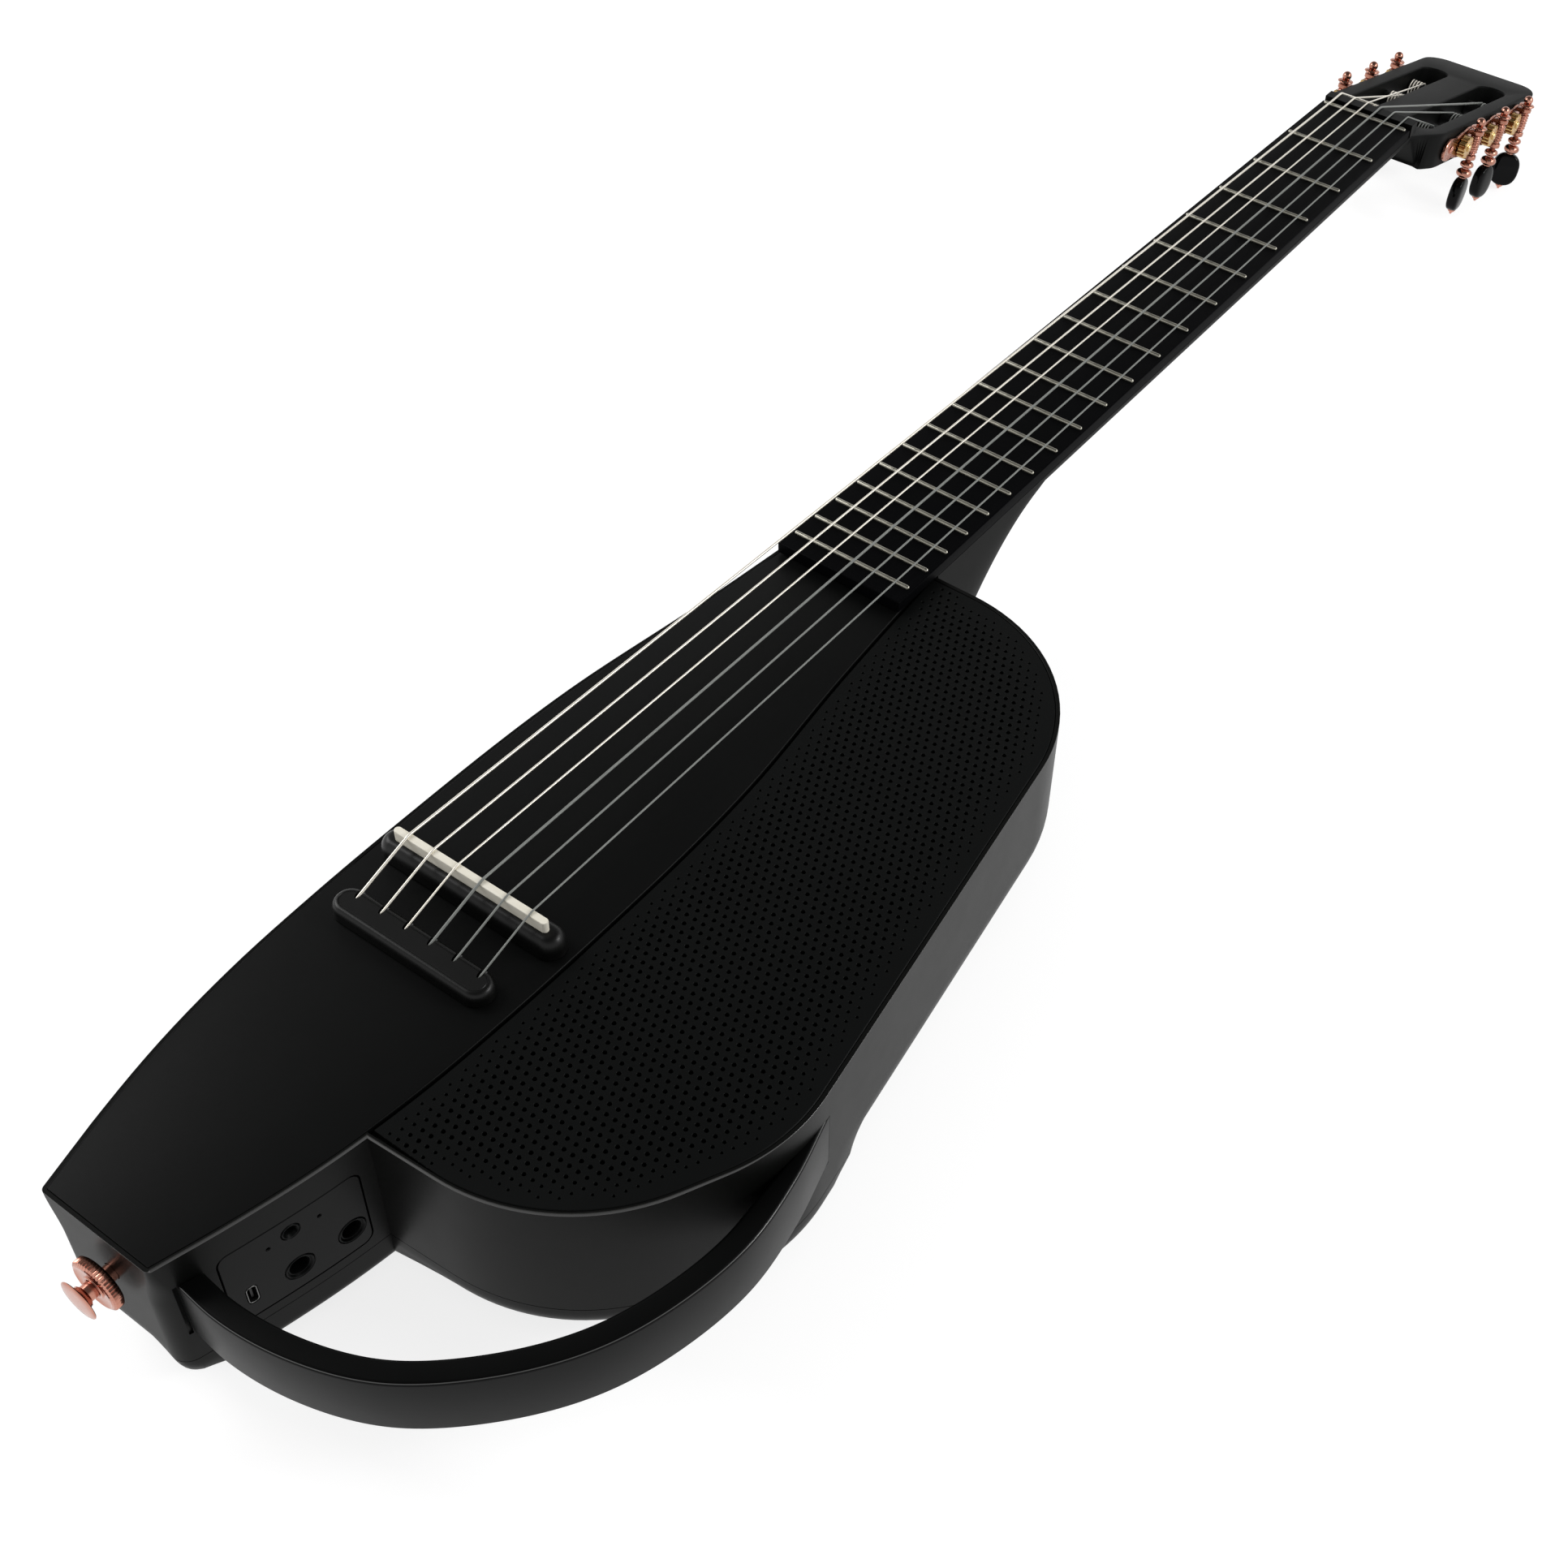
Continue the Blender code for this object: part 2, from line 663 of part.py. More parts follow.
def bow_tenon(name, grow, finish=None):
    """The tongue on the bow's tail end that enters the spine's wall."""
    left = TAIL_X + BOW_TAIL_INSET + TENON_INSET - grow
    right = TAIL_X + BOW_TAIL_INSET + BOW_THICKNESS - TENON_INSET + grow
    wall_y = -float(spine_half_width((left + right) / 2))
    middle = (BOW_TOP + BOW_BOTTOM) / 2
    low = (left, wall_y - BOW_SLIT - WALL, middle - TENON_HALF_HEIGHT - grow)
    high = (right, wall_y + TENON_LENGTH - BOW_SLIT + grow, middle + TENON_HALF_HEIGHT + grow)
    return box(name, low, high, finish)


def make_body():
    shell = body_outer("body_shell", "matte_black")
    recess = prism("top_recess", rounded(*body_corners(), RIM), DECK_TOP, BODY_DEPTH + CUT_MARGIN)
    combine(shell, "DIFFERENCE", body_cavity("shell_cavity"), recess)
    combine(shell, "DIFFERENCE", slab_below("below_seam", SEAM_HEIGHT + SEAM_GAP))
    driver_frame = Matrix.Translation((DRIVER_X, DRIVER_Y, 0))
    opening = cylinder("driver_opening", DRIVER_OPENING, 0, BODY_DEPTH, 32, frame=driver_frame)
    stem_hole = cylinder("stem_hole", STEM_RADIUS + FIT_GAP, -2 * WALL, CUT_MARGIN, frame=tail_frame())
    combine(shell, "DIFFERENCE", opening, stem_hole, panel_prism("panel_window", FIT_GAP))
    combine(shell, "DIFFERENCE", bow_bar("bow_pocket", FIT_GAP), bow_tenon("tenon_pocket", FIT_GAP))

    cover = body_outer("back_cover", "matte_black")
    combine(cover, "DIFFERENCE", body_cavity("cover_cavity"), slab_above("above_seam", SEAM_HEIGHT))
    half_x = BOARD_SIZE[0] / 2 - POST_INSET
    half_y = BOARD_SIZE[1] / 2 - POST_INSET
    for side_x in (-1, 1):
        for side_y in (-1, 1):
            place = Matrix.Translation((BOARD_X + side_x * half_x, side_y * half_y, 0))
            name = f"board_post_{side_x}_{side_y}"
            post = cylinder(name, POST_RADIUS, WALL / 2, WALL + POST_HEIGHT, 10, frame=place)
            combine(cover, "UNION", post)


def make_top():
    prism("top_plate", plan_of_spine(RIM + FIT_GAP), PLATE_BASE, BODY_DEPTH, "matte_black")
    grille = prism("speaker_grille", plan_of_pod(RIM + FIT_GAP), PLATE_BASE, BODY_DEPTH, "satin_black")
    keep_off = plan_of_spine(RIM + FIT_GAP - GROOVE)
    combine(grille, "DIFFERENCE", prism("grille_groove", keep_off, DECK_TOP, BODY_DEPTH + CUT_MARGIN))


def make_bow():
    bow = bow_bar("bow_frame", 0, "satin_black")
    combine(bow, "UNION", bow_tenon("bow_tongue", 0))


def wall_slab(name):
    """The treble wall as a strip between its outer and inner faces, longer than the panel."""
    outer = body_corners()[0][:TAIL_SAMPLES]
    inner = [(x, y + WALL) for x, y in outer[::-1]]
    low = PANEL_BOTTOM - CUT_MARGIN
    return prism(name, [*outer, *inner], low, PANEL_TOP + CUT_MARGIN, "satin_black")


def socket_frame(x, z):
    place = on_wall(x, z)
    return wall_frame() @ Matrix.Translation(place)


def socket_mouth(size, grow):
    half_x = size[0] / 2
    half_y = size[1] / 2
    points = ((-half_x, -half_y), (half_x, -half_y), (half_x, half_y), (-half_x, half_y))
    return rounded(points, (half_x * 0.8,) * 4, -grow)


def make_sockets():
    panel = wall_slab("jack_panel")
    combine(panel, "INTERSECT", panel_prism("panel_form", 0))
    board_outline = panel_outline(-WALL)
    front = -BOARD_SETBACK
    board = prism("socket_board", board_outline, front - BOARD_THICKNESS, front, "board_green", wall_frame())
    through = 3 * WALL
    for number, (x, z, radius, bore) in enumerate(AUDIO_SOCKETS, 1):
        frame = socket_frame(x, z)
        hole = cylinder(f"socket_hole_{number}", radius + FIT_GAP, -through, CUT_MARGIN, 14, frame=frame)
        combine(panel, "DIFFERENCE", hole)
        barrel = cylinder(f"socket_barrel_{number}", radius, -SOCKET_DEPTH - WALL / 2, 0, 14, frame=frame)
        inner = cylinder(f"socket_bore_{number}", bore, -SOCKET_DEPTH, CUT_MARGIN, 10, frame=frame)
        combine(board, "UNION", barrel)
        combine(board, "DIFFERENCE", inner)
    for number, (x, z) in enumerate(PIN_HOLES, 1):
        frame = socket_frame(x, z)
        hole = cylinder(f"pin_hole_{number}", PIN_HOLE_RADIUS, -through, CUT_MARGIN, 6, frame=frame)
        combine(panel, "DIFFERENCE", hole)
    frame = socket_frame(*POWER_PLACE)
    back = -BOARD_SETBACK + FIT_GAP - on_wall(*POWER_PLACE).z
    rim_hole = prism("power_hole", socket_mouth(POWER_RIM, FIT_GAP), -through, CUT_MARGIN, frame=frame)
    combine(panel, "DIFFERENCE", rim_hole)
    rim = prism("power_socket", socket_mouth(POWER_RIM, 0), back, 0, "socket_metal", frame)
    mouth = prism("power_mouth", socket_mouth(POWER_MOUTH, 0), back + WALL / 3, CUT_MARGIN, frame=frame)
    combine(rim, "DIFFERENCE", mouth)


def make_tail_hardware():
    frame = tail_frame()
    bore = STEM_RADIUS + FIT_GAP
    start = WHEEL_STANDOFF
    end = WHEEL_STANDOFF + WHEEL_WIDTH
    profile = (
        (start, bore),
        (start, WHEEL_RADIUS - WHEEL_CHAMFER),
        (start + WHEEL_CHAMFER, WHEEL_RADIUS),
        (end - WHEEL_CHAMFER, WHEEL_RADIUS),
        (end, WHEEL_RADIUS - WHEEL_CHAMFER),
        (end, bore),
        (start, bore),
    )
    lathe("thumb_wheel", profile, WHEEL_SEGMENTS, "rose_gold", frame)
    reach = STRAP_BUTTON_REACH
    lip = FLANGE_RADIUS - STEM_RADIUS
    button = (
        (-STEM_ROOT, 0),
        (-STEM_ROOT, STEM_RADIUS),
        (reach - FLARE_START * lip, STEM_RADIUS),
        (reach - FLARE_KNEE[0] * lip, STEM_RADIUS + FLARE_KNEE[1] * lip),
        (reach, FLANGE_RADIUS),
        (reach + FLANGE_EDGE, FLANGE_RADIUS),
        (reach + 2 * FLANGE_EDGE, FLANGE_RADIUS - FLANGE_ROUNDING * lip),
        (reach + 2 * FLANGE_EDGE, 0),
    )
    lathe("strap_button", button, 16, "rose_gold", frame)


def make_bridge():
    carrier_outline = rounded_bar(CARRIER_HALF_WIDTH, CARRIER_HALF_LENGTH)
    carrier_top = CARRIER_BASE + CARRIER_HEIGHT
    carrier = chamfered_prism(
        "saddle_carrier", carrier_outline, CARRIER_BASE, carrier_top, EDGE_CHAMFER, "matte_black"
    )
    half = SADDLE_THICKNESS / 2
    slot_low = CARRIER_BASE + FIT_GAP
    slot = rounded_bar(half + FIT_GAP, SADDLE_HALF_LENGTH + FIT_GAP)(0)
    combine(carrier, "DIFFERENCE", prism("saddle_slot", slot, slot_low, carrier_top + CUT_MARGIN))
    strip_low = slot_low + FIT_GAP
    strip_top = strip_low + PICKUP_HEIGHT
    bar = rounded_bar(half, SADDLE_HALF_LENGTH)
    prism("pickup_strip", bar(0), strip_low, strip_top, "socket_metal")
    saddle_low = strip_top + FIT_GAP
    crest = half - FIT_GAP
    rings = [
        at_height(bar(0), saddle_low),
        at_height(bar(0), SADDLE_TOP - SADDLE_CREST_SLOPE * crest),
        at_height(bar(crest), SADDLE_TOP),
    ]
    loft("saddle", rings, "ivory", smooth=True)

    tie_outline = rounded_bar(TIE_HALF_WIDTH, TIE_HALF_LENGTH, TIE_X)
    tie_top = CARRIER_BASE + TIE_HEIGHT
    tie = chamfered_prism("tie_block", tie_outline, CARRIER_BASE, tie_top, EDGE_CHAMFER, "matte_black")
    for number in range(1, 7):
        mouth, crest = tie_mouth(number), saddle_crest(number)
        frame = Matrix.Translation(mouth) @ (crest - mouth).to_track_quat("Z", "Y").to_matrix().to_4x4()
        name = f"tie_hole_{number}"
        hole = cylinder(name, TIE_HOLE_RADIUS, -TIE_HOLE_DEPTH, 2 * CUT_MARGIN, 8, frame=frame)
        combine(tie, "DIFFERENCE", hole)


def string_share(number):
    """Where a string lies across the set: -0.5 for the first, on the treble side, to 0.5 for the sixth."""
    return (number - 3.5) / 5


def saddle_crest(number):
    height = SADDLE_TOP + FIT_GAP + STRING_RADII[number - 1]
    return Vector((0, string_share(number) * SADDLE_SPREAD, height))


def tie_mouth(number):
    side = string_share(number) * SADDLE_SPREAD
    return Vector((TIE_HOLE_X, side, CARRIER_BASE + TIE_HEIGHT - EDGE_CHAMFER / 2))


def fret_x(number):
    return SCALE_LENGTH / 2 ** (number / 12)


def fret_half(x):
    return FRET_HALF_AT_SADDLE + (FRET_HALF_AT_NUT - FRET_HALF_AT_SADDLE) * x / SCALE_LENGTH


def make_fretboard():
    start = fret_x(FRET_COUNT) - FRETBOARD_TAIL
    end = SCALE_LENGTH + FRETBOARD_HEAD
    half_start = fret_half(start) + BOARD_MARGIN
    half_end = fret_half(end) + BOARD_MARGIN
    outline = ((start, -half_start), (end, -half_end), (end, half_end), (start, half_start))
    prism("fretboard", outline, FRETBOARD_BASE, FRETBOARD_TOP, "fretboard_black")
    half = FRET_WIDTH / 2
    low = FRETBOARD_TOP + FIT_GAP
    section = ((-half, low), (half, low), (half * 0.8, FRET_TOP - 0.35 * FRET_HEIGHT),
               (0, FRET_TOP), (-half * 0.8, FRET_TOP - 0.35 * FRET_HEIGHT))
    for number in range(FRET_COUNT + 1):
        x = fret_x(number)
        reach = fret_half(x)
        rings = [[(x + dx, side * reach, z) for dx, z in section] for side in (-1, 1)]
        loft(f"fret_{number:02d}", rings, "fret_metal")


def make_nut_guide():
    start = SCALE_LENGTH + GUIDE_START
    half = fret_half(SCALE_LENGTH) + BOARD_MARGIN
    guide = box(
        "nut_guide", (start, -half, FRETBOARD_BASE), (start + GUIDE_LENGTH, half, GUIDE_TOP), "satin_black"
    )
    for number in range(1, 7):
        y = string_share(number) * NUT_SPREAD
        low = (start - CUT_MARGIN, y - GUIDE_SLOT / 2, FRET_TOP - FIT_GAP)
        high = (start + GUIDE_LENGTH + CUT_MARGIN, y + GUIDE_SLOT / 2, GUIDE_TOP + CUT_MARGIN)
        combine(guide, "DIFFERENCE", box(f"guide_slot_{number}", low, high))


def neck_section(x, points=13):
    """Half of a superellipse hanging from the neck's top plane, deeper and squarer at the heel."""
    heel_start = JOINT_X + HEEL_LENGTH
    heel_share = np.clip((heel_start - x) / (HEEL_LENGTH - HEEL_FLAT), 0, 1)
    depth = NECK_DEPTH + (HEEL_DEPTH - NECK_DEPTH) * heel_share**HEEL_POWER
    fullness = NECK_FULLNESS + (HEEL_FULLNESS - NECK_FULLNESS) * math.sqrt(heel_share)
    half = fret_half(x) + BOARD_MARGIN
    section = []
    for angle in np.linspace(0, math.pi, points):
        across = math.copysign(abs(math.cos(angle)) ** (2 / fullness), math.cos(angle))
        down = abs(math.sin(angle)) ** (2 / fullness)
        section.append((x, half * across, NECK_TOP - depth * down))
    return section


def head_outline():
    """Half-widths along the headstock, flaring from the nut and rounded at the far corners."""
    shape = list(HEAD_FLARE)
    for angle in np.linspace(0, math.pi / 2, 6)[:-1]:
        s = HEAD_LENGTH - HEAD_CORNER * (1 - math.sin(angle))
        shape.append((s, HEAD_HALF_WIDTH - HEAD_CORNER * (1 - math.cos(angle))))
    shape.append((HEAD_LENGTH, HEAD_HALF_WIDTH - HEAD_CORNER))
    return shape


def head_blank():
    """The headstock before its slots are cut, in its own frame; its nut end slopes back underneath."""
    shape = head_outline()
    outline = np.array([(s, half) for s, half in shape[::-1]] + [(s, -half) for s, half in shape])
    edge = drawn_in(outline, HEAD_CHAMFER)
    bottom = -HEAD_THICKNESS
    lower = (at_height(outline, bottom + HEAD_CHAMFER), at_height(edge, bottom))
    toed = [[(max(s, HEAD_TOE), y, k) for s, y, k in ring] for ring in lower]
    rings = [at_height(edge, 0), at_height(outline, -HEAD_CHAMFER), *toed]
    return loft("head_blank", rings, frame=HEAD_FRAME)


def head_slot(side):
    radius = (SLOT_OUTER - SLOT_INNER) / 2
    centre_y = side * (SLOT_OUTER + SLOT_INNER) / 2
    centre_s = (SLOT_START + SLOT_END) / 2
    outline = rounded_bar(radius, (SLOT_END - SLOT_START) / 2)(0)
    outline = [(centre_s + y, centre_y - x) for x, y in outline]
    name = f"head_slot_{side}"
    return prism(name, outline, -HEAD_THICKNESS - CUT_MARGIN, CUT_MARGIN, frame=HEAD_FRAME)


def roller_frame(side, number):
    """Frame of a roller on the bass (1) or treble (-1) side: local Z runs outwards along its axle."""
    s = ROLLER_FIRST + ROLLER_SPACING * number
    return HEAD_FRAME @ Matrix.Translation((s, 0, ROLLER_K)) @ Matrix.Rotation(-side * math.pi / 2, 4, "X")


def make_neck():
    heel_start = JOINT_X + HEEL_LENGTH
    heel = np.linspace(JOINT_X + HEEL_FLAT, heel_start + 0.01, 9)
    stations = [JOINT_X + FIT_GAP, *heel, (heel_start + HEAD_X) / 2, HEAD_X + HEAD_CHAMFER * 4]
    neck = loft("neck", [neck_section(x) for x in stations], "matte_black", smooth=True)
    combine(neck, "UNION", head_blank())
    for side in (1, -1):
        combine(neck, "DIFFERENCE", head_slot(side))
        for number in range(3):
            frame = roller_frame(side, number)
            pivot = cylinder(
                f"pivot_hole_{side}_{number}", PIVOT_RADIUS + SPINDLE_GAP,
                SLOT_INNER - PIVOT_DEPTH - FIT_GAP, SLOT_OUTER, 10, frame=frame,
            )
            bore = cylinder(
                f"roller_hole_{side}_{number}", ROLLER_RADIUS + SPINDLE_GAP,
                SLOT_OUTER - CUT_MARGIN, HEAD_HALF_WIDTH + CUT_MARGIN, 14, frame=frame,
            )
            combine(neck, "DIFFERENCE", pivot, bore)


def worm_frame(side, number, turn=0.0):
    """Frame of a tuner key: local Z is its worm's axle, square to the headstock's face."""
    s = ROLLER_FIRST + ROLLER_SPACING * number + WORM_OFFSET
    return HEAD_FRAME @ Matrix.Translation((s, side * WORM_Y, 0)) @ Matrix.Rotation(turn, 4, "Z")


def make_tuner_plate(side, name):
    inner, outer = sorted((side * PLATE_INNER, side * PLATE_OUTER))
    plate = box(
        name, (PLATE_START, inner, PLATE_BOTTOM), (PLATE_END, outer, PLATE_TOP), "rose_gold", HEAD_FRAME
    )
    for number in range(3):
        s = ROLLER_FIRST + ROLLER_SPACING * number + WORM_OFFSET
        near, far = sorted((side * (PLATE_OUTER - PLATE_METAL / 2), side * (WORM_Y + LUG_HALF)))
        for level, top in enumerate((LUG_TOP, LUG_BOTTOM + LUG_THICKNESS)):
            lug = box(
                f"lug_{side}_{number}_{level}", (s - LUG_HALF, near, top - LUG_THICKNESS),
                (s + LUG_HALF, far, top - FIT_GAP), frame=HEAD_FRAME,
            )
            combine(plate, "UNION", lug)
        shaft = cylinder(
            f"shaft_hole_{side}_{number}", SHAFT_RADIUS + SPINDLE_GAP,
            -HEAD_THICKNESS, CUT_MARGIN, 10, frame=worm_frame(side, number),
        )
        spindle = cylinder(
            f"spindle_hole_{side}_{number}", PIVOT_RADIUS + SPINDLE_GAP,
            HEAD_HALF_WIDTH - CUT_MARGIN, WORM_Y, 10, frame=roller_frame(side, number),
        )
        combine(plate, "DIFFERENCE", shaft, spindle)


def make_roller(side, number, name):
    """The string roller, its pivot in the middle web and its gear outside the side plate."""
    gear_end = GEAR_INNER + GEAR_WIDTH
    profile = (
        (SLOT_INNER - PIVOT_DEPTH, 0),
        (SLOT_INNER - PIVOT_DEPTH, PIVOT_RADIUS),
        (SLOT_INNER + FIT_GAP, PIVOT_RADIUS),
        (SLOT_INNER + FIT_GAP, ROLLER_RADIUS),
        (HEAD_HALF_WIDTH - FIT_GAP, ROLLER_RADIUS),
        (HEAD_HALF_WIDTH - FIT_GAP, PIVOT_RADIUS),
        (gear_end + PLATE_METAL / 2, PIVOT_RADIUS),
        (gear_end + PLATE_METAL / 2, 0),
    )
    frame = roller_frame(side, number)
    roller = lathe(name, profile, 10, "roller_white", frame)
    teeth = []
    for i in range(2 * GEAR_TEETH):
        radius = GEAR_ROOT if i % 2 else GEAR_RADIUS
        angle = math.pi * i / GEAR_TEETH
        teeth.append((radius * math.cos(angle), radius * math.sin(angle)))
    combine(roller, "UNION", prism(name + "_gear", teeth, GEAR_INNER, gear_end, frame=frame))


def make_key(side, number, name):
    """Finial, worm shaft and beads turned as one, and the oval button on its end."""
    worm_top = LUG_TOP - LUG_THICKNESS - FIT_GAP
    worm_end = LUG_BOTTOM + LUG_THICKNESS + FIT_GAP
    button_end = BUTTON_TOP - BUTTON_LENGTH
    profile = (
        *KEY_FINIAL,
        (worm_top, SHAFT_RADIUS),
        (worm_top, WORM_RADIUS),
        (worm_end, WORM_RADIUS),
        (worm_end, SHAFT_RADIUS),
        *KEY_BEADS,
        (BUTTON_TOP, BUTTON_SOCKET_RADIUS),
        (button_end - BUTTON_TIP[0], SHAFT_RADIUS),
        (button_end - BUTTON_TIP[1], 0),
    )
    frame = worm_frame(side, number, side * BUTTON_TURNS[number])
    key = lathe(name, profile, 8, "rose_gold", frame)
    bm = bmesh.new()
    bmesh.ops.create_uvsphere(bm, u_segments=10, v_segments=6, radius=1)
    size = (BUTTON_HALF_WIDTH, BUTTON_HALF_THICKNESS, BUTTON_LENGTH / 2)
    bmesh.ops.scale(bm, vec=size, verts=bm.verts)
    bmesh.ops.translate(bm, vec=(0, 0, BUTTON_TOP - BUTTON_LENGTH / 2), verts=bm.verts)
    combine(key, "UNION", finished(bm, name + "_button", frame=frame))


def make_tuners():
    make_tuner_plate(1, "tuner_plate_bass")
    make_tuner_plate(-1, "tuner_plate_treble")
    for string in range(1, 7):
        side, number = tuner_of(string)
        make_roller(side, number, f"tuner_roller_{string}")
        make_key(side, number, f"tuner_key_{string}")


def tuner_of(string):
    """Side and place from the nut of a string's tuner: 6, 5, 4 on the bass side and 1, 2, 3 on the treble."""
    return (1, 6 - string) if string > 3 else (-1, string - 1)


def head_point(s, y, k):
    return HEAD_FRAME @ Vector((s, y, k))


def string_route(string):
    """From inside the tie block over the saddle and the zero fret, then in a helix round its roller."""
    radius = STRING_RADII[string - 1]
    mouth, crest = tie_mouth(string), saddle_crest(string)
    tied = mouth + (mouth - crest).normalized() * (TIE_HOLE_DEPTH - FIT_GAP)
    nut_y = string_share(string) * NUT_SPREAD
    over_nut = Vector((SCALE_LENGTH, nut_y, FRET_TOP + FIT_GAP + radius))
    guide_exit = Vector((SCALE_LENGTH + GUIDE_START + GUIDE_LENGTH, nut_y, over_nut.z))

    side, number = tuner_of(string)
    centre_s = ROLLER_FIRST + ROLLER_SPACING * number
    reach = ROLLER_RADIUS + FIT_GAP + radius
    local = HEAD_FRAME.inverted() @ guide_exit
    distance = math.hypot(local.x - centre_s, local.z - ROLLER_K)
    first = math.atan2(local.z - ROLLER_K, local.x - centre_s) - math.acos(reach / distance)
    start_y = side * WINDING_STARTS[number]
    step_y = side * WINDING_WAYS[number] * LOOP_PITCH
    winding = []
    for i in range(LOOPS * LOOP_POINTS + 1):
        turns = i / LOOP_POINTS
        angle = first - 2 * math.pi * turns
        s = centre_s + reach * math.cos(angle)
        winding.append(head_point(s, start_y + step_y * turns, ROLLER_K + reach * math.sin(angle)))
    approach = [winding[0].lerp(guide_exit, share) for share in (0.30, 0.15, 0.06)]
    tail = winding[-1] + (winding[-1] - winding[-2]).normalized() * 2 * radius
    return [tied, crest, over_nut, guide_exit, *approach, *winding, tail]


def least_gap(route, radius):
    """The smallest clear distance between points of a route that lie at least half a loop apart."""
    points = np.array([tuple(point) for point in route])[4:]
    distances = np.linalg.norm(points[:, None] - points[None], axis=2)
    order = np.arange(len(points))
    apart = np.abs(order[:, None] - order[None]) >= LOOP_POINTS // 2
    return distances[apart].min() - 2 * radius


def make_string(string):
    radius = STRING_RADII[string - 1]
    route = string_route(string)
    curve = bpy.data.curves.new(f"string_{string}", "CURVE")
    curve.dimensions = "3D"
    curve.bevel_depth = radius
    curve.bevel_resolution = 1
    curve.use_fill_caps = True
    spline = curve.splines.new("POLY")
    spline.points.add(len(route) - 1)
    for point, place in zip(spline.points, route):
        point.co = (*place, 1)
    add_object(f"string_{string}", curve, "nylon" if string < 4 else "wound_silver")
    print(f"string_{string}: least gap between loops {1000 * least_gap(route, radius):.2f} mm")


def make_inner_parts():
    back = DECK_BOTTOM - FIT_GAP
    magnet = DRIVER_RADIUS * MAGNET_SHARE
    magnet_end = back - DRIVER_DEPTH * (1 - MAGNET_HEIGHT_SHARE)
    profile = (
        (back - DRIVER_DEPTH, 0),
        (back - DRIVER_DEPTH, magnet),
        (magnet_end, magnet),
        (back - WALL, DRIVER_RADIUS * BASKET_SHARE),
        (back - WALL, DRIVER_RADIUS),
        (back, DRIVER_RADIUS),
        (back, DRIVER_OPENING),
        (back - DRIVER_DEPTH * CONE_SHARE, DRIVER_RADIUS * CONE_SHARE),
        (back - DRIVER_DEPTH * CAP_SHARE, 0),
    )
    lathe("speaker_driver", profile, 24, "gloss_black", Matrix.Translation((DRIVER_X, DRIVER_Y, 0)))

    length, width, height = BATTERY_SIZE
    low = WALL + FIT_GAP
    half_x, half_y = length / 2, width / 2
    points = ((-half_x, -half_y), (half_x, -half_y), (half_x, half_y), (-half_x, half_y))
    outline = [(BATTERY_X + x, y) for x, y in rounded(points, (WALL,) * 4)]
    prism("battery_pack", outline, low, low + height, "battery_wrap")

    low = WALL + POST_HEIGHT + FIT_GAP
    half_x, half_y = BOARD_SIZE[0] / 2, BOARD_SIZE[1] / 2
    box(
        "main_board", (BOARD_X - half_x, -half_y, low), (BOARD_X + half_x, half_y, low + BOARD_THICKNESS),
        "board_green",
    )


def main():
    clear_scene()
    make_body()
    make_top()
    make_bow()
    make_sockets()
    make_tail_hardware()
    make_bridge()
    make_neck()
    make_fretboard()
    make_nut_guide()
    make_tuners()
    for string in range(1, 7):
        make_string(string)
    make_inner_parts()


main()
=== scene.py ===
# %% [markdown]
# # Dressing a smart guitar
#
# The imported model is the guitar's skeleton. Every part there has its true place and size, with plain
# faces. This lesson rebuilds the surfaces that show from the same driving sizes, as numpy grids, and
# gives each one the finish that it has on the real instrument.

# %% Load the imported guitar
import math

import bmesh
import bpy
import numpy as np
from mathutils import Matrix, Vector
from mathutils.geometry import delaunay_2d_cdt


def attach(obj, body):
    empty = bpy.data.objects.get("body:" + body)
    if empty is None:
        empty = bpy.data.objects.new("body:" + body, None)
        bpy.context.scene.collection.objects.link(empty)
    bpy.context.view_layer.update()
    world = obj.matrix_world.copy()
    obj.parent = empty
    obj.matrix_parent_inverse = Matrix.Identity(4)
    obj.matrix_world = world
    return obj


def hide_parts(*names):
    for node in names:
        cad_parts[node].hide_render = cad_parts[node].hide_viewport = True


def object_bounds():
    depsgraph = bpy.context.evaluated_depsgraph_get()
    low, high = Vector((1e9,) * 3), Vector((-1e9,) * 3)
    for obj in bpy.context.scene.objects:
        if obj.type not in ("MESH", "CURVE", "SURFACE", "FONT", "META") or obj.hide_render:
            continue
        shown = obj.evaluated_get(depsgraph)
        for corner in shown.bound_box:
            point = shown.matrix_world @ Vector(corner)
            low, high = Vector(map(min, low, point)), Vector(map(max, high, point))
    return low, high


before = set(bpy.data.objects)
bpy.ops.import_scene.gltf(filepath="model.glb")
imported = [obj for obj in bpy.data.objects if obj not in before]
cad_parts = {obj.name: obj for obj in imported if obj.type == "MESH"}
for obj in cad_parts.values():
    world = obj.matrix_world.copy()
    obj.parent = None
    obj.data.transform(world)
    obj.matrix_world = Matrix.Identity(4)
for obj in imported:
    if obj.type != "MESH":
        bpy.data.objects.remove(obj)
cad_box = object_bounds()

# %% [markdown]
# ## The camera
#
# The photograph looks down on the tail, with the neck running away to the upper right. Its view was
# solved from the frets and the body's edges, so the camera is given as a place, two directions and a
# focal length in pixels of the square frame. A matrix made of the two directions is shorter and more
# exact than three angles.

# %% Set up the camera
FRAME_PIXELS = 1932
FOCAL_PIXELS = 2669.6
CENTRE_PIXEL = (1000.0, 1044.2)
CAMERA_PLACE = Vector((-0.3197, -0.3790, 0.6328))
CAMERA_FORWARD = Vector((0.5403, 0.3988, -0.7410))
CAMERA_RIGHT = Vector((0.6042, -0.7968, 0.0118))
SENSOR = 36.0

